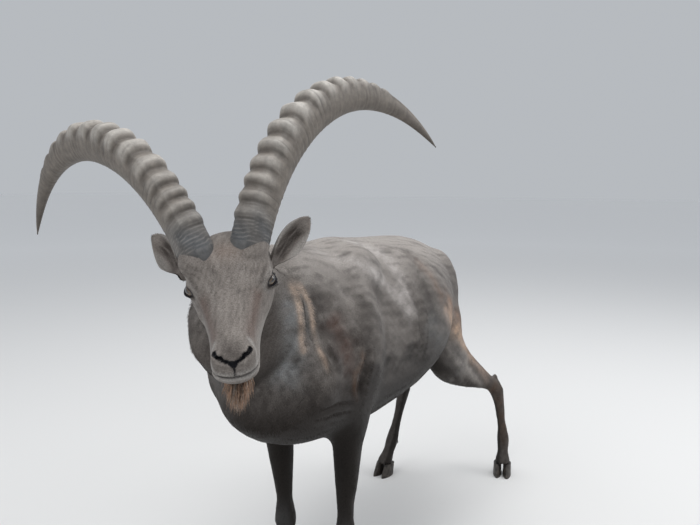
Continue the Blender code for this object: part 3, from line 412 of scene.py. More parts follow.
def mesh_from(name, points, triangles):
    """A smooth mesh object from arrays of points and of triangles."""
    mesh = bpy.data.meshes.new(name)
    points = np.ascontiguousarray(points, np.float32)
    triangles = np.ascontiguousarray(triangles, np.int32)
    mesh.vertices.add(len(points))
    mesh.vertices.foreach_set("co", points.ravel())
    mesh.loops.add(triangles.size)
    mesh.loops.foreach_set("vertex_index", triangles.ravel())
    mesh.polygons.add(len(triangles))
    mesh.polygons.foreach_set("loop_start", np.arange(0, triangles.size, 3, dtype=np.int32))
    mesh.update(calc_edges=True)
    mesh.polygons.foreach_set("use_smooth", np.full(len(triangles), True))
    return linked(name, mesh)


def coloured(obj, colours):
    """Gives each point of the mesh its colour."""
    layer = obj.data.color_attributes.new("markings", "FLOAT_COLOR", "POINT")
    rgba = np.ones((len(colours), 4), np.float32)
    rgba[:, :3] = colours
    layer.data.foreach_set("color", rgba.ravel())
    return obj


def arrays(obj):
    mesh = obj.data
    mesh.calc_loop_triangles()
    points = np.zeros(len(mesh.vertices) * 3)
    mesh.vertices.foreach_get("co", points)
    triangles = np.zeros(len(mesh.loop_triangles) * 3, np.int32)
    mesh.loop_triangles.foreach_get("vertices", triangles)
    return points.reshape(-1, 3), triangles.reshape(-1, 3)


def point_normals(points, triangles):
    corner = points[triangles]
    face = np.cross(corner[:, 1] - corner[:, 0], corner[:, 2] - corner[:, 0])
    total = np.zeros_like(points)
    for k in range(3):
        for axis in range(3):
            total[:, axis] += np.bincount(triangles[:, k], face[:, axis], len(points))
    return unit(total)


def relaxed(points, triangles, rounds, mask=1.0):
    """Moves each point towards the mean of its neighbours, halfway where its mask is 1."""
    edges = np.vstack([triangles[:, [0, 1]], triangles[:, [1, 2]], triangles[:, [2, 0]]])
    ends = ((edges[:, 0], edges[:, 1]), (edges[:, 1], edges[:, 0]))
    count = sum(np.bincount(end, minlength=len(points)) for end, _ in ends)
    strength = 0.5 * np.broadcast_to(mask, len(points))[:, None]
    for _ in range(rounds):
        mean = np.zeros_like(points)
        for axis in range(3):
            mean[:, axis] = sum(np.bincount(end, points[other, axis], len(points)) for end, other in ends)
        mean /= np.maximum(count, 1)[:, None]
        points = points + (mean - points) * strength
    return points


def apply_modifiers(obj):
    graph = bpy.context.evaluated_depsgraph_get()
    mesh = bpy.data.meshes.new_from_object(obj.evaluated_get(graph))
    obj.modifiers.clear()
    obj.data = mesh
    return obj


def joined_nodes(name, nodes, swell):
    """One mesh of the solids' copies, each swollen a little so that the thin cuts between them close."""
    points, triangles, start = [], [], 0
    for node in nodes:
        p, t = arrays(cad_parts[node])
        key = np.round(p * 1e5).astype(np.int64)
        _, first, again = np.unique(key, axis=0, return_index=True, return_inverse=True)
        p, t = p[first], again.reshape(-1)[t]
        p = p + point_normals(p, t) * swell
        points.append(p)
        triangles.append(t + start)
        start += len(p)
    return mesh_from(name, np.vstack(points), np.vstack(triangles))


def remeshed(obj, voxel, smoothing):
    remesh = obj.modifiers.new("fuse", "REMESH")
    remesh.mode = "VOXEL"
    remesh.voxel_size = voxel
    blur = obj.modifiers.new("blend", "SMOOTH")
    blur.factor = 0.5
    blur.iterations = smoothing
    return apply_modifiers(obj)


def boolean(obj, other, operation):
    cut = obj.modifiers.new("cut", "BOOLEAN")
    cut.operation = operation
    cut.solver = "MANIFOLD"
    cut.object = other
    apply_modifiers(obj)
    bpy.data.objects.remove(other, do_unlink=True)
    return obj


def block(point, normal, width):
    """A box one metre deep that starts at the plane and lies ahead of it."""
    turn = Vector(normal).normalized().to_track_quat("Z", "Y").to_matrix().to_4x4()
    work = bmesh.new()
    bmesh.ops.create_cube(work, size=1.0)
    place = Matrix.Translation(Vector(point)) @ turn @ Matrix.Diagonal((width, width, 1.0, 1.0))
    work.transform(place @ Matrix.Translation((0, 0, 0.5)))
    mesh = bpy.data.meshes.new("block")
    work.to_mesh(mesh)
    work.free()
    return linked("block", mesh)


def largest(points, triangles):
    """Keeps the largest connected surface."""
    label = np.arange(len(points))
    while True:
        low = label[triangles].min(axis=1)
        new = label.copy()
        for k in range(3):
            np.minimum.at(new, triangles[:, k], low)
        new = new[new]
        if (new == label).all():
            break
        label = new
    names, counts = np.unique(label, return_counts=True)
    keep = label == names[counts.argmax()]
    index = np.cumsum(keep) - 1
    used = keep[triangles[:, 0]]
    return points[keep], index[triangles[used]]


def oriented(obj, place):
    """The object moved to its place, with its faces turned outward."""

    def turn_out(work):
        work.transform(place)
        bmesh.ops.recalc_face_normals(work, faces=work.faces)
        if work.calc_volume(signed=True) < 0:
            bmesh.ops.reverse_faces(work, faces=work.faces)

    return changed(obj, turn_out)


# Skin


def ahead_of_cut(points):
    """How far each point lies in front of the plane between head and neck."""
    return (points - OFFSET - HEAD_CUT[0]) @ unit(HEAD_CUT[1])


def ear_frame(side):
    along = EAR_ALONG[side].normalized()
    hollow = Vector((side * 0.34, 0.74, 0.48))
    hollow = (hollow - along * hollow.dot(along)).normalized()
    across = along.cross(hollow)
    turned = Matrix((across, along, hollow)).transposed().to_4x4()
    return Matrix.Translation(EAR_AT[side]) @ turned


def ear_row(t, columns):
    """The places across an ear at the share t of its length, on its hollow side and on its back."""
    breadth = math.sin(math.pi * (0.17 + 0.83 * max(t, 0.0)) ** 1.12) ** 0.62 if t < 1 else 0.0
    half = max(EAR_WIDTH / 2 * (breadth + 2.0 * max(min(t, 0.0), EAR_ROOT)), 0.0024)
    curl = 1.25 - 0.80 * max(t, EAR_ROOT)
    spread = math.sin(math.pi / 2 * min(curl, 1.0))
    front, back = [], []
    for k in range(columns + 1):
        v = 2 * k / columns - 1
        angle = v * math.pi / 2 * curl
        x = half * math.sin(angle) / spread
        z = 0.95 * half * (1 - math.cos(angle)) / spread - 0.010 * math.sin(math.pi * t)
        thick = EAR_THICK * (1 - 0.55 * v * v) * (1 - 0.45 * t)
        ridge = 0.0006 * math.sin(v * 9.0) * max(0.0, math.sin(math.pi * min(max(t, 0), 1)))
        front.append((x * 0.94, t * EAR_LENGTH, z + ridge))
        back.append((x * 1.04, t * (EAR_LENGTH + 0.002), z - thick))
    return front, back


def ear_mesh(side):
    """A cupped leaf with its hollow turned forward, its edges rolled in near the base."""
    rows, columns = 44, 30
    front, back = [], []
    for i in range(rows):
        t = EAR_SUNK + (1 - EAR_SUNK) * (1 - (1 - i / (rows - 1)) ** 1.4)
        row = ear_row(t, columns)
        front += row[0]
        back += row[1]
    width = columns + 1
    count = rows * width
    faces = []
    for i in range(rows - 1):
        for k in range(columns):
            a, b = i * width + k, i * width + k + 1
            c, d = b + width, a + width
            faces += [(a, b, c), (a, c, d)]
            faces += [(count + a, count + c, count + b), (count + a, count + d, count + c)]
        for k in (0, columns):
            a, d = i * width + k, (i + 1) * width + k
            faces += [(a, d, count + d), (a, count + d, count + a)]
    for k in range(columns):
        for i in (0, rows - 1):
            a, b = i * width + k, i * width + k + 1
            faces += [(a, count + a, count + b), (a, count + b, b)]
    return oriented(mesh_from(f"ear_{side}", front + back, faces), HEAD_FRAME @ ear_frame(side))


def ear_part(points):
    """Which points belong to an ear, 0 to 1, the share along it, and the place across it."""
    best = np.zeros(len(points))
    along, across = np.zeros(len(points)), np.zeros(len(points))
    for side, _ in SIDES:
        local = np.array(HEAD_FRAME @ ear_frame(side))
        own = (points - local[:3, 3]) @ local[:3, :3]
        inside = smoothstep(-0.008, 0.010, own[:, 1]) * (own[:, 1] < EAR_LENGTH + 0.01)
        inside = inside * smoothstep(0.040, 0.034, np.hypot(own[:, 0], own[:, 2] - 0.006))
        more = inside > best
        best[more] = inside[more]
        along[more], across[more] = own[more, 1] / EAR_LENGTH, own[more, 0]
    return best, along, across


def face_share(points, low=-0.010, high=0.030):
    """1 on the head, 0 on the neck and behind it."""
    near = distance(points, HEAD_ORIGIN) < 0.34
    return smoothstep(low, high, ahead_of_cut(points)) * near


def coat_depth(points):
    """How thick the coat lies over the skin."""
    high = (points - OFFSET)[:, 2]
    depth = BODY_DEPTH - 0.0030 * smoothstep(0.52, 0.36, high) - 0.0015 * smoothstep(0.34, 0.22, high)
    face = face_share(points, -0.060, 0.020)
    depth = blend(depth, FACE_DEPTH, face)
    depth = blend(depth, MUZZLE_DEPTH, smoothstep(0.060, 0.140, to_head(points)[:, 1]) * face)
    return blend(depth, EAR_DEPTH, ear_part(points)[0])


def small_forms(points):
    """Which places belong to the lids, the nostrils and the mouth's line."""
    left = mirrored(to_head(points))
    fine = distance(left, BALL_AT) < 0.0230
    for path in (MOUTH, NOSTRIL):
        fine |= near_path(left, path)[0] < 0.0060
    return fine


def split_small_forms(work):
    """Splits the edges within the small forms, so that they come out crisp."""
    fine = small_forms(np.array([v.co for v in work.verts]))
    edges = [e for e in work.edges if fine[e.verts[0].index] and fine[e.verts[1].index]]
    bmesh.ops.subdivide_edges(work, edges=edges, cuts=1, use_grid_fill=True, smooth=0.6)
    bmesh.ops.triangulate(work, faces=work.faces[:])


def fill_eyes(work):
    """Fills both eyes' rounds in, for the lids to be shaped from."""
    for side, _ in SIDES:
        place = Matrix.Translation(Vector(from_head(BALL_AT * [side, 1, 1])))
        bmesh.ops.create_icosphere(work, subdivisions=4, radius=BALL_RADIUS + BALL_COVER, matrix=place)


def body_skin():
    """The body's coarse skin, sunk under the head's, and its unsunk surface with the ways out of it."""
    points, triangles = removed(remeshed(joined_nodes("skin", BODY, FUSE_SWELL), BODY_VOXEL, BODY_BLUR))
    outward = point_normals(points, triangles)
    plain = points - outward * coat_depth(points)[:, None]
    sink = SEAM_SINK * smoothstep(-0.020, 0.000, ahead_of_cut(points))
    sink *= distance(points, HEAD_ORIGIN) < 0.30
    around = distance(points[triangles].mean(1), HEAD_ORIGIN) < 0.50
    guide = triangles[around]
    surface = BVHTree.FromPolygons(plain.tolist(), guide.tolist())
    return mesh_from("skin", plain - outward * sink[:, None], triangles), surface, outward[guide].mean(1)


def head_skin():
    """The head's fine skin with the eyes' rounds, from a little behind the cut on."""
    head = changed(joined_nodes("fine_head", ["head", "neck"], FUSE_SWELL), fill_eyes)
    back = HEAD_CUT[0] + OFFSET - SEAM_BACK * unit(HEAD_CUT[1])
    boolean(remeshed(head, HEAD_VOXEL, HEAD_BLUR), block(back, HEAD_CUT[1], 0.5), "INTERSECT")
    points, triangles = removed(head)
    sink = SEAM_SINK * smoothstep(-0.012, -0.026, ahead_of_cut(points))
    points = points - point_normals(points, triangles) * (sink + coat_depth(points))[:, None]
    return changed(mesh_from("fine_head", points, triangles), split_small_forms)


def mended(points, triangles, surface, outward):
    """Lays the seam behind the head on the body's unsunk surface, and smooths the seam and the ears' roots.

    Also returns the surface's outward way at each seam point, and how much each point is of the seam.
    """
    seam = smoothstep(0.040, 0.022, np.abs(ahead_of_cut(points) + SEAM_MIDDLE))
    seam *= distance(points, HEAD_ORIGIN) < SEAM_REACH
    seam *= smoothstep(0.40, 0.0, ear_part(points)[0])
    lean = np.zeros_like(points)
    for i in np.flatnonzero(seam):
        place, _, face, _ = surface.find_nearest(Vector(points[i]))
        points[i] += (np.array(place) - points[i]) * seam[i]
        lean[i] = outward[face]
    points = relaxed(points, triangles, 3, seam)
    for side, _ in SIDES:
        place = np.array(HEAD_FRAME @ (EAR_AT[side] + EAR_ALONG[side].normalized() * 0.004))
        root = smoothstep(0.034, 0.020, distance(points, place))
        points = relaxed(points, triangles, 6, root)
    return points, lean, seam


def skin_mesh():
    """The whole flesh as one closed skin, coarse over the body and fine over the head and ears."""
    body, surface, outward = body_skin()
    boolean(body, head_skin(), "UNION")
    for side, _ in SIDES:
        boolean(body, ear_mesh(side), "UNION")
    points, triangles = largest(*removed(body))
    points, lean, seam = mended(points, triangles, surface, outward)
    return points, triangles, lean, seam


def snapped(path, tree):
    """A path of the head laid on the skin, in short steps."""
    laid = []
    for i in range(len(path) - 1):
        for share in np.linspace(0, 1, 5)[: 4 if i < len(path) - 2 else 5]:
            at = blend(np.array(path[i]), np.array(path[i + 1]), share)
            place = tree.find_nearest(Vector(from_head(at[None])[0]))[0]
            place = to_head(np.array([place]))[0]
            laid.append((max(place[0], 0.0) if at[0] > 0.001 else 0.0, place[1], place[2]))
    return laid


def eye_axes(side, turn):
    """An eye's facing, the line through its corners and the way up between them, turned."""
    facing = turn @ (np.array(EYE_FACING) * [side, 1, 1])
    along = turn @ np.array((0.0, 1.0, 0.0))
    along = unit(along - facing * (along @ facing))
    rise = np.cross(facing, along)
    return facing, along, rise * np.sign(rise @ turn[:, 2])


def around_eye(out, side, turn):
    """From an eye's middle to each place: distance, way, degrees off its facing and past the lid's edge."""
    facing, along, rise = eye_axes(side, turn)
    reach = np.linalg.norm(out, axis=1)
    way = out / np.maximum(reach, 1e-9)[:, None]
    x, y = way @ along, way @ rise
    away = np.degrees(np.arccos(np.clip(way @ facing, -1, 1)))
    tall = np.abs(y) / np.maximum(np.hypot(x, y), 1e-9)
    return reach, way, away, away - (LID_CORNER - (LID_CORNER - LID_MIDDLE) * tall**1.3)


def face_forms(head):
    """How far the mouth's line, the nostrils and the lip's groove go in, and how far their rims stand out."""
    left = mirrored(head)
    gap, share = near_path(left, MOUTH)
    dig = MOUTH_DEEP * hump(gap, 0.0016) * smoothstep(1.0, 0.75, share)
    lip = LIP_HIGH * hump(gap - 0.0045, 0.0030) * smoothstep(1.0, 0.6, share)
    gap, share = near_path(left, NOSTRIL)
    dig += (NOSTRIL_DEEP + NOSTRIL_DEEPER * smoothstep(0.35, 0.75, share)) * hump(gap, 0.0027)
    rim = RIM_HIGH * hump(gap - 0.0050, 0.0020)
    groove = hump(head[:, 0], 0.0014) * smoothstep(0.150, 0.165, head[:, 1])
    groove = groove * smoothstep(-0.030, -0.036, head[:, 2]) * smoothstep(-0.054, -0.048, head[:, 2])
    dig += GROOVE_DEEP * groove
    return dig, lip + rim


def lidded(points, side):
    """The points around an eye moved: the lids over the ball, and under its face where the eye is open."""
    centre = from_head(BALL_AT * [side, 1, 1])
    reach, way, away, past = around_eye(points - centre, side, HEAD_TURN)
    lid = BALL_RADIUS + LID_THICK + LID_ROLL * hump(past - LID_ROLL_WIDTH, LID_ROLL_WIDTH)
    raised = np.where(away < LID_BACK, blend(reach, lid, smoothstep(LID_BACK, LID_FULL, away)), lid)
    drawn = reach + (lid - reach) * smoothstep(LID_SPREAD, 0, past) * LID_DRAW
    closed = np.where(reach < lid, raised, drawn)
    wanted = np.where(past < 0, np.minimum(reach, BALL_RADIUS - BALL_CLEAR), closed)
    return centre + way * np.where(reach < EYE_REACH, wanted, reach)[:, None]


def sculpt(points, triangles):
    """Lids, nostrils, mouth line and the folds of the skin, by moving the skin's points."""
    normals = point_normals(points, triangles)
    dig, rise = face_forms(to_head(points))
    left = mirrored(points - OFFSET)
    for depth, width, path in FOLDS:
        gap, share = near_path(left, path)
        ends = smoothstep(0.0, 0.25, share) * smoothstep(1.0, 0.75, share)
        dig += depth * ends * (hump(gap, width) - 0.55 * hump(gap - 2.1 * width, width))
    points = points + normals * (rise - dig)[:, None]
    for side, _ in SIDES:
        points = lidded(points, side)
    return points


# Markings, the same for skin and coat: a colour for each point, from the place on the animal


def shaded(colour, field, pale, dark):
    """The colour drawn towards pale where the field is above zero, and towards dark where it is below."""
    colour = mix(colour, PALE, pale * np.clip(field, 0, 1))
    return mix(colour, DARK, dark * np.clip(-field, 0, 1))


def trunk_marks(own, normals):
    """The ground colour, with painted highlight where the body looks up, and the courses, strands and flecks
    over it.
    """
    left = mirrored(own)
    colour = np.tile(GREY_BROWN, (len(own), 1))
    # Painted highlight: paler where the back faces up.
    high = smoothstep(0.1, 0.95, normals[:, 2]) * smoothstep(0.66, 0.82, own[:, 2])
    colour = mix(colour, PALE * 1.1, 0.85 * high)
    wobble = 0.007 * waves(own, 0.05, 8, 2)
    streaks = waves(own * [1.0, 0.45, 1.0], 0.020, 17, 3)
    for tone, strength, width, path in BANDS:
        gap, share = near_path(left, path)
        edge = hump(gap + wobble * min(1.0, width / 0.03), width) * smoothstep(-0.02, 0.12, share) ** 0.5
        colour = mix(colour, tone, np.clip(strength * edge * (0.85 + 0.45 * streaks), 0, 1))
    colour = shaded(colour, waves(own * [1.0, 0.22, 0.7], 0.012, 19, 2), 0.22, 0.40)
    fleck = waves(own * [1.0, 0.45, 0.8], 0.040, 5, 3)
    colour = mix(colour, PALE, 0.16 * smoothstep(0.1, 1.0, fleck) * smoothstep(0.50, 0.62, own[:, 2]))
    return mix(colour, DARK, 0.35 * smoothstep(0.1, 1.0, -fleck))


def body_marks(own, normals):
    """The trunk's, neck's and legs' colours, with painted shade under the body and on the hind legs' inner
    sides.
    """
    colour = trunk_marks(own, normals)
    x, y, z = own.T
    # Painted shade where the body faces down, and on the low front of the chest.
    under = smoothstep(0.15, -0.45, normals[:, 2]) * smoothstep(0.40, 0.46, z)
    under = np.maximum(under, smoothstep(0.67, 0.55, z) * smoothstep(0.10, -0.10, y))
    colour = mix(colour, DARK * 0.8, 0.90 * under)
    front = smoothstep(0.30, 0.10, y)
    hind = 1 - front
    legs = smoothstep(0.60, 0.48, z) * front + smoothstep(0.40, 0.30, z) * hind
    # Painted shade on the hind legs' inner sides, mixed with the legs' own dark colour.
    inner = smoothstep(0.2, -0.5, normals[:, 0] * np.sign(x)) * smoothstep(0.60, 0.50, z)
    colour = mix(colour, LEG_DARK, 0.92 * np.maximum(legs * (1 - 0.35 * hind), inner * hind))
    knee = hump(z - 0.256, 0.035) * smoothstep(-0.2, -0.8, normals[:, 1]) * front
    colour = mix(colour, BLUISH, 0.25 * knee)
    rear = smoothstep(0.1, 0.8, normals[:, 1]) * hind * smoothstep(0.36, 0.30, z)
    colour = mix(colour, RUFOUS * 0.7, 0.50 * rear)
    rump = smoothstep(0.60, 0.95, normals[:, 1]) * smoothstep(0.50, 0.58, z) * smoothstep(0.70, 0.74, y)
    return mix(colour, PALE * 0.9, 0.5 * rump * smoothstep(0.09, 0.03, np.abs(x)))


def forehead_marks(tone, head):
    """The forehead's whorl of hair, the strands and the crown's warm patch."""
    x, y, z = head.T
    swirl = waves(head * [1, 0.5, 1], 0.030, 9, 3)
    tone = mix(tone, PALE, 0.22 * smoothstep(0.2, 1.0, swirl))
    tone = mix(tone, DARK, 0.30 * smoothstep(0.2, 1.0, -swirl))
    whorl = np.hypot(x, (y + 0.004) * 0.8)
    turn = np.arctan2(x, y + 0.004)
    rings = np.sin(whorl * 1500 + turn * 3 + 5.0 * waves(head, 0.030, 41, 2))
    rings = rings * smoothstep(0.085, 0.020, whorl) * (z > -0.03)
    tone = shaded(tone, rings * (0.6 + 0.6 * waves(head, 0.015, 43, 1)), 0.16, 0.20)
    tone = shaded(tone, waves(head * [1.0, 0.22, 1.0], 0.006, 45, 2), 0.20, 0.34)
    crown = hump(y + 0.045, 0.022) * hump(x, 0.028) * (z > -0.02)
    return mix(tone, RUFOUS * 0.8, 0.20 * crown)


def cheek_marks(tone, head):
    """The maroon course along the bridge, the pale one under the eye and the dark throat."""
    left = mirrored(head)
    gap, _ = near_path(left, ((0.044, 0.030, -0.020), (0.037, 0.070, -0.026), (0.030, 0.112, -0.024)))
    tone = mix(tone, MAROON * 1.35, 0.58 * hump(gap, 0.012))
    gap, _ = near_path(left, ((0.046, 0.030, -0.070), (0.042, 0.080, -0.062), (0.036, 0.115, -0.050)))
    tone = mix(tone, RIM, 0.40 * hump(gap, 0.014))
    throat = smoothstep(-0.082, -0.115, head[:, 2]) * smoothstep(0.13, 0.05, head[:, 1])
    return mix(tone, DARK, 0.65 * throat)


def muzzle_marks(tone, head):
    """The lips' pale rims, the mouth's line and the leather of the nose."""
    left = mirrored(head)
    x, y, z = left.T
    muzzle = smoothstep(0.120, 0.150, y)
    tone = mix(tone, DARK * 1.3, 0.50 * muzzle * smoothstep(-0.030, -0.016, z) * smoothstep(0.024, 0.010, x))
    gap, _ = near_path(left, LIP_RIM)
    tone = mix(tone, RIM, 0.80 * hump(gap, 0.0042))
    gap, share = near_path(left, MOUTH)
    tone = mix(tone, RIM, 0.70 * hump(gap - 0.0050, 0.0036))
    tone = mix(tone, DARK, 0.85 * smoothstep(-0.064, -0.074, z) * muzzle)
    tone = mix(tone, NOSE, hump(gap, 0.0021 - 0.0011 * share))
    gap, share = near_path(left, NOSTRIL)
    wide = 0.0006 * (1 - share) + 0.0014 * smoothstep(0.35, 0.75, share)
    leather = smoothstep(0.0034, 0.0024, gap - wide)
    low = np.clip((-0.0235 - z) / 0.0165, 0, 1)
    middle = smoothstep(0.0010, -0.0010, x - 0.0105 * (1 - low) ** 1.3) * (low > 0) * (low < 1) * (y > 0.155)
    stem = smoothstep(0.0022, 0.0012, x) * (z < -0.030) * (z > -0.051) * (y > 0.155)
    return mix(tone, NOSE, np.clip(leather + middle + stem, 0, 1))


def eye_marks(tone, head, side):
    """One eye's dark lids with a pale ring round them, painted shade in a ring above them, and painted shade
    in the inner corner.
    """
    facing, along, rise = eye_axes(side, np.eye(3))
    reach, way, _, past = around_eye(head - BALL_AT * [side, 1, 1], side, np.eye(3))
    ring = smoothstep(0.030, 0.024, reach)
    tone = mix(tone, RIM, 0.35 * hump(past - 26, 10) * ring)
    # Painted shade above the upper lid.
    tone = mix(tone, DARK, 0.50 * hump(past - 46, 9) * ring * (way @ rise > 0))
    tone = mix(tone, NOSE * 1.6, smoothstep(0.0210, 0.0180, reach) * smoothstep(12, 6, past))
    # Painted shade in the eye's inner corner.
    corner = BALL_AT * [side, 1, 1] + 0.0175 * (facing * 0.46 + along * 0.89 - rise * 0.10)
    gap = np.linalg.norm((head - corner) * [1, 0.7, 1], axis=1)
    return mix(tone, DARK, 0.80 * hump(gap, 0.0055))


def face_marks(head):
    """The face's colours, in the head's frame."""
    tone = np.tile(FACE, (len(head), 1))
    for marks in (forehead_marks, cheek_marks, muzzle_marks):
        tone = marks(tone, head)
    for side, _ in SIDES:
        tone = eye_marks(tone, head, side)
    return tone


def markings(points, normals):
    """The coat's colour at each place."""
    colour = mix(body_marks(points - OFFSET, normals), face_marks(to_head(points)), face_share(points))
    ear, along, across = ear_part(points)
    inner = smoothstep(-0.1, 0.4, normals @ unit(HEAD_TURN @ np.array((0.0, 0.75, 0.45))))
    lining = inner * smoothstep(0.018, 0.008, np.abs(across)) * smoothstep(0.92, 0.65, along)
    streaks = waves(np.stack([along * 0.01, across, across * 0], 1), 0.004, 51, 2)
    lining = lining * np.clip(0.85 + 0.5 * streaks, 0, 1)
    colour = mix(colour, FACE * 1.25, ear)
    colour = mix(colour, EAR_IN, ear * lining * 0.95)
    return mix(colour, RIM * 1.1, 0.75 * ear * smoothstep(0.012, 0.020, np.abs(across)))


# Coat


def lie(points, normals):
    """The way the hair points at each place, along the skin."""
    own = points - OFFSET
    head = to_head(points)
    ones = np.ones(len(points))
    side = np.sign(own[:, 0] + 1e-9)
    way = np.stack([0.10 * side, ones, -0.40 * (1 - 0.8 * np.clip(normals[:, 2], 0, 1))], 1)
    way = mix(way, np.array((0.0, 0.22, -1.0)), smoothstep(0.62, 0.46, own[:, 2]))
    breast = smoothstep(-0.10, -0.26, own[:, 1]) * smoothstep(0.86, 0.70, own[:, 2])
    way = mix(way, np.array((0.0, 0.35, -1.0)), breast)
    fan = np.stack([head[:, 0] * 9.0, -ones, -0.35 * ones], 1)
    cheek = np.stack([0.1 * np.sign(head[:, 0]), -0.8 * ones, -0.7 * ones], 1)
    fan = mix(fan, cheek, smoothstep(-0.02, -0.10, head[:, 2]))
    way = mix(way, fan @ HEAD_TURN.T, face_share(points, -0.030, 0.030))
    ear = ear_part(points)[0]
    for s, _ in SIDES:
        along = HEAD_TURN @ np.array(EAR_ALONG[s].normalized())
        way = mix(way, along, ear * (np.sign(head[:, 0]) == s))
    way = unit(way - normals * (way * normals).sum(1, keepdims=True))
    return turned(way, normals, waves(own, 0.07, 21, 2) * 0.30)


def turned(way, normals, angle):
    """Each way turned about its normal by its angle."""
    return way * np.cos(angle)[:, None] + np.cross(normals, way) * np.sin(angle)[:, None]


def tuft_size(points):
    """Length, width and share of tufts at each place."""
    own = points - OFFSET
    head = to_head(points)
    length = BODY_HAIR + RUMP_HAIR * smoothstep(0.725, 0.760, own[:, 1]) * smoothstep(0.58, 0.62, own[:, 2])
    legs = smoothstep(0.52, 0.34, own[:, 2])
    length = blend(length, LEG_HAIR, legs)
    length = length * (1 - 0.35 * smoothstep(0.16, 0.08, own[:, 2]))
    face = face_share(points, -0.050, 0.035)
    length = blend(length, FACE_HAIR, face)
    muzzle = smoothstep(0.040, 0.130, head[:, 1]) * face
    length = blend(length, MUZZLE_HAIR, muzzle)
    for side, _ in SIDES:
        reach = distance(head, BALL_AT * [side, 1, 1])
        length = length * (0.30 + 0.70 * smoothstep(0.018, 0.034, reach))
    ear = ear_part(points)[0]
    length = blend(length, EAR_HAIR, ear)
    return length, 0.0005 + length * 0.072, 1.0 + 2.8 * face + 4.0 * muzzle + 2.4 * ear + 1.0 * legs


def bare(points):
    """1 where no hair grows: nose leather, lips' line, and the lids with a ring round them."""
    head = to_head(points)
    left = mirrored(head)
    none = smoothstep(0.0044, 0.0034, near_path(left, NOSTRIL)[0])
    middle = smoothstep(0.0070, 0.0050, np.hypot(head[:, 0], (head[:, 2] + 0.034) * 0.7))
    none = np.maximum(none, middle * (head[:, 1] > 0.15))
    none = np.maximum(none, smoothstep(0.0030, 0.0018, near_path(left, MOUTH)[0]))
    reach = distance(left, BALL_AT)
    return np.maximum(none, smoothstep(0.0245, 0.0220, reach))


def sample(points, triangles, normals, weight, count):
    """Roots spread over the skin: place, normal, triangle and the place within it."""
    rng = np.random.default_rng(1)
    corner = points[triangles]
    area = np.linalg.norm(np.cross(corner[:, 1] - corner[:, 0], corner[:, 2] - corner[:, 0]), axis=1) / 2
    total = np.cumsum(area * weight[triangles].mean(1))
    pick = (np.arange(count) + rng.random(count)) / count * total[-1]
    chosen = np.minimum(np.searchsorted(total, pick), len(triangles) - 1)
    u, v = rng.random(count), rng.random(count)
    over = u + v > 1
    u[over], v[over] = 1 - u[over], 1 - v[over]
    share = np.stack([1 - u - v, u, v], 1)
    place = (points[triangles[chosen]] * share[:, :, None]).sum(1)
    normal = unit((normals[triangles[chosen]] * share[:, :, None]).sum(1))
    return place, normal, chosen, share


def tuft_root(roots, normals, ways, width):
    """The root's place a little under the skin, its half width and its ridge."""
    half = np.cross(normals, ways) * (width / 2)[:, None]
    return roots - normals * 0.0006, half, normals * (width * 0.25)[:, None]


def straight_tufts(roots, normals, ways, length, width, lift):
    """Corners of thin straight tufts, with the normals that they are shaded by."""
    ahead = ways * np.cos(lift)[:, None] + normals * np.sin(lift)[:, None]
    root, half, ridge = tuft_root(roots, normals, ways, width)
    corners = np.stack([root - half, root + half, root + ridge, root + ahead * length[:, None]], 1)
    side = np.cross(normals, ways)
    lean = np.array([-0.35, 0.35, 0, 0])
    return corners, unit(normals[:, None] + side[:, None] * lean[None, :, None] + ahead[:, None] * 0.12)


def bent_tufts(roots, normals, ways, length, width, bend):
    """Corners of thin tufts that are bent halfway."""
    root, half, ridge = tuft_root(roots, normals, ways, width)
    middle = root + ways * (length * 0.5)[:, None] + bend * 0.6
    tip = root + ways * length[:, None] - bend * 0.4
    low = [root - half, root + half, root + ridge]
    return np.stack([*low, middle - half * 0.8, middle + half * 0.8, middle + ridge * 0.9, tip], 1)


def tuft_piece(name, corners, faces, colours, patches, mat, shading=None):
    """One mesh of many tufts with its colours and the map of its roots."""
    starts = np.arange(len(corners)) * corners.shape[1]
    index = (np.array(faces)[None] + starts[:, None, None]).reshape(-1, 3)
    made = coloured(mesh_from(name, corners.reshape(-1, 3), index), colours.reshape(-1, 3))
    uv = made.data.uv_layers.new(name="OFBake")
    uv.data.foreach_set("uv", patches.reshape(-1, 2)[index.ravel()].astype(np.float32).ravel())
    if shading is not None:
        made.data.normals_split_custom_set_from_vertices(shading.reshape(-1, 3))
    made.data.materials.append(mat)
    return made


def coat(uvs, roots, mat):
    """Grows tufts on the given roots and splits them into pieces."""
    rng = np.random.default_rng(3)
    place, normal, chosen, share = roots
    count = len(place)
    length, width, _ = tuft_size(place)
    length = length * rng.uniform(0.72, 1.18, count)
    width = width * math.sqrt(FULL_TUFTS / TUFTS) * rng.uniform(0.75, 1.3, count)
    ways = turned(lie(place, normal), normal, rng.normal(0, 0.13, count))
    lift = np.radians(rng.uniform(1.0, 4.5, count))
    corners, shading = straight_tufts(place, normal, ways, length, width, lift)
    tone = rng.normal(1.0, 0.09, count) * (1 + 0.08 * waves(place - OFFSET, 0.02, 31, 2))
    colours = markings(place, normal) * np.clip(tone, 0.5, 1.6)[:, None]
    # Painted shade at each tuft's root and painted light at its tip.
    colours = colours[:, None, :] * np.array(STRAIGHT_PAINTED_SHADING)[None, :, None]
    root_uv = (uvs[chosen] * share[:, :, None]).sum(1)
    patches = np.clip(root_uv[:, None, :] + np.array(STRAIGHT_PATCH)[None] * PATCH_SIZE, 0, 1)
    order = rng.permutation(count)
    each = PIECE_TRIANGLES // len(STRAIGHT_FACES)
    for i, start in enumerate(range(0, count, each)):
        part = order[start : start + each]
        look = (colours[part], patches[part], mat, shading[part])
        piece = tuft_piece(f"coat_{i}", corners[part], STRAIGHT_FACES, *look)
        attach(piece, "root")


# Beard


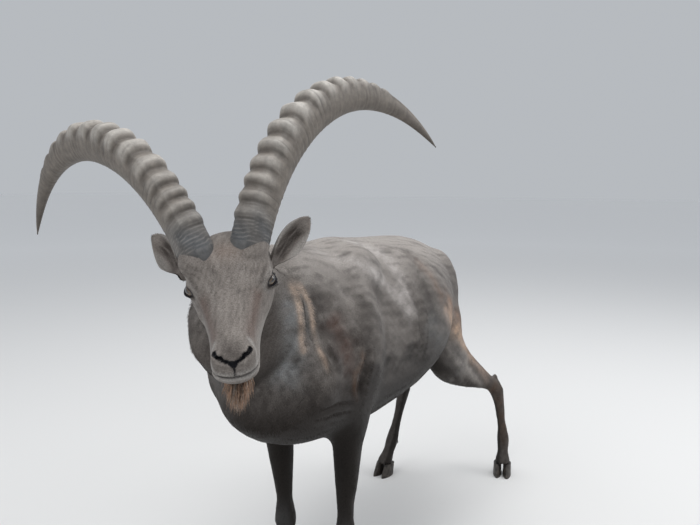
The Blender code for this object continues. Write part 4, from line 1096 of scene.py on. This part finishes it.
def beard(mat):
    """Bent tufts that hang from a round patch under the chin."""
    rng = np.random.default_rng(7)
    u = rng.uniform(-1, 1, BEARD_TUFTS)
    v = rng.uniform(-1, 1, BEARD_TUFTS)
    keep = u * u + v * v < 1
    u, v = u[keep], v[keep]
    count = len(u)
    ahead_at, low_at = BEARD_AT
    local = [u * BEARD_HALF_WIDTH, ahead_at + v * BEARD_HALF_DEPTH, np.full(count, low_at)]
    roots = from_head(np.stack(local, 1))
    across, ahead = u * 0.18 + rng.normal(0, 0.07, count), v * -0.02 + rng.normal(0, 0.06, count)
    ways = unit(unit(np.array((0.02, -0.06, -1.0))) + np.stack([across, ahead, np.zeros(count)], 1))
    length = BEARD_HAIR * (0.62 + 0.38 * rng.random(count)) * (1 - 0.45 * np.abs(u)) * (1 - 0.25 * np.abs(v))
    clump = np.round(u * 3) * 0.7 + np.round(v * 3)
    length *= 1 + 0.12 * np.sin(clump * 5.1)
    normals = unit(np.cross(ways, rng.normal(size=(count, 3))))
    width = rng.uniform(0.0010, 0.0020, count)
    bend = normals * (rng.normal(0, 0.0035, count))[:, None] + np.array((0, 0.004, 0))
    corners = bent_tufts(roots, normals, ways, length, width, bend)
    tone = BEARD_BROWN * rng.uniform(0.60, 1.40, count)[:, None]
    grey = (rng.random(count) < 0.35)[:, None]
    tone = np.where(grey, BEARD_GREY * rng.uniform(0.6, 1.4, count)[:, None], tone)
    # Painted shade at each lock's root and painted light at its tip.
    colours = tone[:, None, :] * np.array(BENT_PAINTED_SHADING)[None, :, None]
    at = np.stack([0.5 + u * 0.4, 0.5 + v * 0.4], 1)
    patches = at[:, None, :] + np.array(BENT_PATCH)[None] * PATCH_SIZE
    piece = tuft_piece("beard_hair", corners, BENT_FACES, colours, patches, mat)
    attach(piece, "root")
    return piece


# Materials


def new_node(tree, kind, values=None):
    """A new shader node with the given input values."""
    made = tree.nodes.new("ShaderNode" + kind)
    for name, value in (values or {}).items():
        made.inputs[name].default_value = value
    return made


def new_material(name, values):
    """A material with the given values of its shader."""
    made = bpy.data.materials.new(name)
    made.use_nodes = True
    shader = made.node_tree.nodes["Principled BSDF"]
    for key, value in values.items():
        shader.inputs[key].default_value = value
    return made, made.node_tree, shader


def grain(tree, scale, detail, rough=0.5):
    """Noise over the object's own space."""
    place = new_node(tree, "TexCoord")
    noise = new_node(tree, "TexNoise", {"Scale": scale, "Detail": detail, "Roughness": rough})
    tree.links.new(place.outputs["Object"], noise.inputs["Vector"])
    return noise.outputs["Fac"]


def dented(tree, shader, height, strength, distance):
    """Small dents and ridges in the surface."""
    lump = new_node(tree, "Bump", {"Strength": strength, "Distance": distance})
    tree.links.new(height, lump.inputs["Height"])
    tree.links.new(lump.outputs["Normal"], shader.inputs["Normal"])


def marked(tree):
    """The colours given point by point."""
    mark = new_node(tree, "Attribute")
    mark.attribute_name = "markings"
    return mark.outputs["Color"]


def tinted(tree, shader, noise, brightest):
    """The markings as the surface's colour, darker and lighter by the noise."""
    span = new_node(tree, "MapRange", {"From Min": 0.3, "From Max": 0.7, "To Min": 0.70, "To Max": brightest})
    tint = new_node(tree, "VectorMath")
    tint.operation = "SCALE"
    tree.links.new(noise, span.inputs["Value"])
    tree.links.new(marked(tree), tint.inputs[0])
    tree.links.new(span.outputs["Result"], tint.inputs["Scale"])
    tree.links.new(tint.outputs["Vector"], shader.inputs["Base Color"])


def furry_material(name, rough, scale, sheen):
    """Hair or skin: matt, with a fine grain in its colour."""
    values = {"Roughness": rough, "Specular IOR Level": 0.06, "Sheen Weight": sheen, "Sheen Roughness": 0.45}
    made, tree, shader = new_material(name, values)
    noise = grain(tree, scale, 3.0)
    tinted(tree, shader, noise, 1.30)
    return made, tree, shader, noise


def hair_material():
    return furry_material("hair", 0.80, 300.0, 0.0)[0]


def skin_material():
    made, tree, shader, noise = furry_material("skin", 0.60, 500.0, 0.1)
    dented(tree, shader, noise, 0.4, 0.001)
    return made


def horn_material():
    made, tree, shader = new_material("horn_keratin", {"Roughness": 0.52, "Specular IOR Level": 0.4})
    tinted(tree, shader, grain(tree, 70.0, 6.0, 0.65), 1.25)
    dented(tree, shader, grain(tree, 420.0, 4.0), 0.5, 0.0012)
    return made


def hoof_material():
    made, tree, shader = new_material("hoof_keratin", {"Roughness": 0.5})
    noise = grain(tree, 90.0, 5.0)
    ramp = new_node(tree, "ValToRGB")
    low, high = ramp.color_ramp.elements
    low.color, high.color = (0.016, 0.013, 0.011, 1), (0.085, 0.070, 0.058, 1)
    low.position, high.position = 0.35, 0.75
    tree.links.new(noise, ramp.inputs["Fac"])
    tree.links.new(ramp.outputs["Color"], shader.inputs["Base Color"])
    dented(tree, shader, noise, 0.4, 0.001)
    return made


def eye_material():
    values = {"Roughness": 0.06, "Specular IOR Level": 0.6, "Coat Weight": 0.8, "Coat Roughness": 0.03}
    made, tree, shader = new_material("eye_glossy", values)
    tree.links.new(marked(tree), shader.inputs["Base Color"])
    return made


def floor_material():
    """Pale grey under the animal, growing white with the distance."""
    made, tree, shader = new_material("pale_floor", {"Roughness": 0.85})
    place = new_node(tree, "TexCoord")
    far = new_node(tree, "VectorMath")
    far.operation = "LENGTH"
    span = new_node(tree, "MapRange", {"From Min": 1.0, "From Max": 9.0})
    ramp = new_node(tree, "ValToRGB")
    near_end, far_end = ramp.color_ramp.elements
    near_end.color, far_end.color = (0.70, 0.695, 0.685, 1), (0.98, 0.98, 0.98, 1)
    tree.links.new(place.outputs["Object"], far.inputs[0])
    tree.links.new(far.outputs["Value"], span.inputs["Value"])
    tree.links.new(span.outputs["Result"], ramp.inputs["Fac"])
    tree.links.new(ramp.outputs["Color"], shader.inputs["Base Color"])
    return made


# Horns


def squared(back, along):
    """The back direction made square to the horn's own."""
    back = back - along * (back @ along)
    return back / np.linalg.norm(back)


def horn_line(shape, steps):
    """Points, directions and back directions along a horn, in the head's frame."""
    side, rise, splay = shape["side"], math.radians(shape["rise"]), math.radians(shape["splay"])
    turn = math.radians(shape["turn"])
    along = np.array(
        (side * math.sin(splay), -math.cos(rise) * math.cos(splay), math.sin(rise) * math.cos(splay))
    )
    back = squared(np.array((0.0, -math.sin(rise), -math.cos(rise))), along)
    back = back * math.cos(turn) + side * np.cross(along, back) * math.sin(turn)
    place = np.array((side * HORN_BASE.x, HORN_BASE.y, HORN_BASE.z))
    found = []
    step = HORN_LENGTH / steps
    for i in range(steps + 1):
        fade = max(0.0, 1 - i / steps / HORN_FOOT_SHARE) ** 2
        found.append((place + np.array((*shape["foot"], 0.0)) * fade, along, back))
        t = (i + 0.5) / steps
        bend = shape["bend"][0] + shape["bend"][1] * t + shape["bend"][2] * t * t
        ahead = along + bend * back * step
        back = back + (-bend * along + side * shape["twist"] * np.cross(along, back)) * step
        along = ahead / np.linalg.norm(ahead)
        back = squared(back, along)
        place = place + along * step
    return found


def knob_height(t, crests):
    """How far the front of the horn stands out at the share t of its length: 1 on the tallest crest."""
    found = 0.0
    for i, crest in enumerate(crests):
        before = KNOB_STEEP * (crest - (crests[i - 1] if i else 0.02))
        after = (1 - KNOB_STEEP) * ((crests[i + 1] if i + 1 < len(crests) else crest + 0.05) - crest)
        tall = min(1.0, KNOB_FIRST + crest * KNOB_GROWTH) * min(1.0, (KNOBS_END - crest) / KNOB_FADE)
        if crest - before < t <= crest:
            found = max(found, tall * (1 - ((crest - t) / before) ** 2))
        elif crest < t < crest + after:
            found = max(found, tall * (0.5 + 0.5 * math.cos(math.pi * (t - crest) / after)))
    return found


def horn_rows(shape, crests):
    """Ring by ring: share of the length, size, knob, fine growth ring, tone, place, direction and back."""
    line = horn_line(shape, 4 * HORN_RINGS)
    rng = np.random.default_rng(11 if shape["side"] > 0 else 12)
    phase = np.cumsum(rng.uniform(0.35, 1.25, HORN_RINGS)) * 1.05
    strength = np.convolve(rng.uniform(-0.4, 1.4, HORN_RINGS + 8), np.ones(9) / 9, "valid")
    tones = np.convolve(rng.uniform(-1, 1, HORN_RINGS + 6), np.ones(7) / 4, "valid")
    rows = []
    for i in (0, *range(HORN_RINGS)):
        t = i / (HORN_RINGS - 1)
        place, along, back = line[round(t * (len(line) - 1))]
        if not rows:
            place = place - along * HORN_ROOT
        size = (1 - 0.10 * t) * max(0.0, 1 - max(0.0, (t - 0.28) / 0.72) ** 1.7) ** 0.72
        fine = math.sin(phase[i]) * strength[i] * (1 - float(smoothstep(0.78, 0.95, t)))
        rows.append((t, max(size, 0.045), knob_height(t, crests), fine, tones[i], place, along, back))
    return [np.array(column)[:, None] for column in zip(*rows)]


def towards(colour, other, share):
    return colour + (other - colour) * share[..., None]


def horn_colours(t, knob, fine, tone, angle, wander):
    """Brown, with painted highlight on the crests and front edges, painted shade between the crests, dark at
    the tip, and a cracked bluish foot.
    """
    back = np.sin(angle)
    front = np.maximum(0.0, -back)
    colour = np.tile(HORN_BROWN, (len(t), HORN_SIDES, 1))
    # Painted highlight on the crests and on the front's two edges.
    crest = np.clip(knob * 1.15, 0, 1) ** 1.6 * smoothstep(0.0, 0.5, front)
    corner = hump((angle - 1.30 * math.pi) % (2 * math.pi), 0.35) + hump(1.70 * math.pi - angle, 0.30)
    colour = towards(colour, HORN_LIGHT, np.clip(0.60 * crest + 0.20 * corner * (front > 0), 0, 0.85))
    # Painted shade in the hollows between the crests.
    painted_valley_shade = (1 - np.clip(knob * 2.2, 0, 1)) * smoothstep(0.1, 0.6, front) * (t < 0.8)
    colour = towards(colour, HORN_DARK, 0.46 * painted_valley_shade)
    lines = smoothstep(0.25, 0.9, -fine * (1 + wander)) * (1 - 0.5 * front)
    colour = towards(colour, HORN_DARK, 0.55 * lines)
    foot = smoothstep(0.11, 0.02, t) * (0.75 + 0.25 * np.sin(angle * 3 + 55 * t))
    colour = towards(colour, HORN_COOL, 0.72 * foot)
    crack = np.sin(t * 760 + 1.6 * np.sin(angle * 3 + t * 60) + 0.8 * np.sin(angle * 7))
    crack = smoothstep(0.35, 0.95, crack) * (0.45 + 0.55 * np.sin(angle * 2.0 + 90 * t) ** 2)
    colour = towards(colour, HORN_LIGHT * 0.8, 0.32 * crack * smoothstep(0.12, 0.04, t))
    colour = colour * (1 + 0.10 * tone * np.ones_like(angle))[..., None]
    colour = towards(colour, HORN_DARK, 0.60 * smoothstep(0.72, 1.0, t) * smoothstep(-0.3, 0.4, back))
    return towards(colour, HORN_DARK * 1.6, 0.40 * smoothstep(0.2, 0.9, back) * np.ones_like(t))


def horn(name, shape, crests):
    """A horn of rounded three-sided section with knobs in front and fine growth rings all round."""
    t, size, knob, fine, tone, place, along, back = horn_rows(shape, crests)
    angle = (2 * math.pi * np.arange(HORN_SIDES) / HORN_SIDES)[None, :]
    c, s = np.cos(angle), np.sin(angle)
    front = np.maximum(0.0, -s)
    half_w, half_d = HORN_WIDTH / 2 * size * (1 - 0.06 * t), HORN_DEPTH / 2 * size
    wander = 0.25 * np.sin(2 * angle + 40 * t) + 0.20 * np.sin(5 * angle + 23 * t)
    x = np.sign(c) * np.abs(c) ** 0.66 * half_w * (1 - 0.34 * np.maximum(0.0, s))
    y = np.sign(s) * np.abs(s) ** 0.76 * half_d - front**0.5 * knob * HORN_KNOB
    x = x * (1 + 0.10 * knob * np.minimum(1.0, front * 2))
    swell = 1 + fine * (0.016 - 0.007 * front) * (1 + wander)
    swell = swell + 0.004 * np.sin(7 * angle + t * 9) + 0.004 * wander
    points = place + np.cross(along, back) * (x * swell)[..., None] + back * (y * swell)[..., None]
    count = len(t) - 1
    i, k = np.meshgrid(np.arange(count), np.arange(HORN_SIDES), indexing="ij")
    after = (k + 1) % HORN_SIDES
    a, b = i * HORN_SIDES, (i + 1) * HORN_SIDES
    halves = [np.stack([a + k, b + k, b + after], -1), np.stack([a + k, b + after, a + after], -1)]
    ends = (0, count * HORN_SIDES)
    caps = [(start, start + m, start + m + 1) for start in ends for m in range(1, HORN_SIDES - 1)]
    faces = np.vstack([np.concatenate(halves).reshape(-1, 3), caps])
    made = oriented(mesh_from(name, points.reshape(-1, 3), faces), HEAD_FRAME)
    made.data.polygons.foreach_set("use_smooth", np.full(len(made.data.polygons), True))
    colours = horn_colours(t, knob, fine, tone, angle, wander)
    return coloured(made, np.clip(colours.reshape(-1, 3), 0.01, 1))


# Eyes


def eye_tone(x, y, around, in_front):
    """The eye's colour: a level pupil, a rayed amber iris and dark skin round it."""
    radius = math.hypot(x, y)
    if not in_front or radius > 0.80:
        return EYE_SKIN
    if (abs(x) / 0.46) ** 3 + (abs(y) / 0.17) ** 3 < 1:
        return PUPIL
    ray = 0.8 + 0.35 * math.sin(around * 31) * math.sin(around * 17 + 1)
    return tuple(v * ray * (1.0 - 0.6 * smoothstep(0.6, 0.78, radius)) for v in IRIS)


def eyeball(side, name):
    """The eye with a low cornea, an amber iris and a level pupil."""
    rows, columns = 40, 56
    centre = from_head(BALL_AT * [side, 1, 1])
    facing, along, rise = eye_axes(side, HEAD_TURN)
    points, colours, faces = [], [], []
    for i in range(rows + 1):
        turn = math.pi * i / rows
        bulge = BALL_RADIUS + 0.0010 * math.exp(-((turn / 0.55) ** 2))
        for k in range(columns):
            around = 2 * math.pi * k / columns
            x, y = math.sin(turn) * math.cos(around), math.sin(turn) * math.sin(around)
            points.append(centre + (facing * math.cos(turn) + along * x + rise * y) * bulge)
            colours.append(eye_tone(x, y, around, turn <= math.pi / 2))
    for i in range(rows):
        for k in range(columns):
            after = (k + 1) % columns
            a, b = i * columns, (i + 1) * columns
            if i > 0:
                faces.append((a + k, a + after, b + after))
            if i < rows - 1:
                faces.append((a + k, b + after, b + k))
    made = coloured(mesh_from(f"eyeball_{name}", np.array(points), np.array(faces)), np.array(colours))

    def close_poles(work):
        bmesh.ops.remove_doubles(work, verts=work.verts, dist=1e-6)
        bmesh.ops.recalc_face_normals(work, faces=work.faces)

    return changed(made, close_poles)


# Stage


def add_floor():
    work = bmesh.new()
    bmesh.ops.create_grid(work, x_segments=1, y_segments=1, size=FLOOR_HALF)
    mesh = bpy.data.meshes.new("floor")
    work.to_mesh(mesh)
    work.free()
    floor = linked("floor", mesh)
    mesh.materials.append(floor_material())


def add_light():
    """A pale sky and three area lamps: name, place, size and power."""
    world = bpy.data.worlds.new("studio")
    bpy.context.scene.world = world
    world.use_nodes = True
    sky = world.node_tree.nodes["Background"]
    sky.inputs["Color"].default_value = (0.86, 0.90, 0.95, 1)
    sky.inputs["Strength"].default_value = 0.55
    for name, place, size, power in LAMPS:
        light = bpy.data.lights.new(name, "AREA")
        light.size = size
        light.energy = power
        lamp = linked(name, light)
        lamp.location = place
        lamp.rotation_euler = (LAMPS_AIM - Vector(place)).to_track_quat("-Z", "Y").to_euler()


def add_camera():
    data = bpy.data.cameras.new("camera")
    data.sensor_width = 36.0
    data.lens = CAMERA_LENS
    camera = linked("camera", data)
    camera.location = CAMERA_AT + SHIFT
    camera.rotation_euler = (math.radians(90 - CAMERA_DOWN), 0, math.radians(CAMERA_TURN))
    bpy.context.scene.camera = camera
    bpy.context.scene.view_settings.view_transform = "Standard"


def unwrapped(obj):
    """Each triangle's three places on an unwrap of the skin."""
    bpy.context.view_layer.objects.active = obj
    obj.select_set(True)
    obj.data.uv_layers.new(name="OFBake")
    bpy.ops.object.mode_set(mode="EDIT")
    bpy.ops.mesh.select_all(action="SELECT")
    bpy.ops.uv.smart_project(angle_limit=math.radians(66), island_margin=0.002)
    bpy.ops.object.mode_set(mode="OBJECT")
    uv = np.zeros(len(obj.data.loops) * 2)
    obj.data.uv_layers["OFBake"].data.foreach_get("uv", uv)
    return uv.reshape(-1, 3, 2)


def dress_flesh(hair):
    """The skin in place of the solid flesh, and the coat that grows on it."""
    points, triangles, lean, seam = skin_mesh()
    tree = BVHTree.FromPolygons(points.tolist(), triangles.tolist())
    for path in (MOUTH, NOSTRIL, LIP_RIM):
        path[:] = snapped(path, tree)
    points = sculpt(points, triangles)
    normals = point_normals(relaxed(points, triangles, 5), triangles)
    normals = unit(mix(normals, lean, seam))
    skin = coloured(mesh_from("skin", points, triangles), markings(points, normals) * 0.9)
    skin.data.materials.append(skin_material())
    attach(skin, "root")
    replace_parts(skin, *FLESH)
    uvs = unwrapped(skin)
    weight = tuft_size(points)[2] * (1 - bare(points))
    coat(uvs, sample(points, triangles, normals, weight, TUFTS), hair)


def main():
    hair = hair_material()
    dress_flesh(hair)
    for side, name in SIDES:
        ball = eyeball(side, name)
        ball.data.materials.append(eye_material())
        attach(ball, "root")
        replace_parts(ball, f"eye_{name}")
        horned = horn(f"horn_{name}_ringed", HORN_SHAPE[name], HORN_CRESTS[name])
        horned.data.materials.append(horn_material())
        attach(horned, "root")
        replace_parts(horned, f"horn_{name}")
    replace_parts(beard(hair), "beard")
    hoof = hoof_material()
    for name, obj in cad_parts.items():
        if name.startswith("claw"):
            for slot in obj.material_slots:
                slot.material = hoof
    add_floor()
    add_light()
    add_camera()


main()
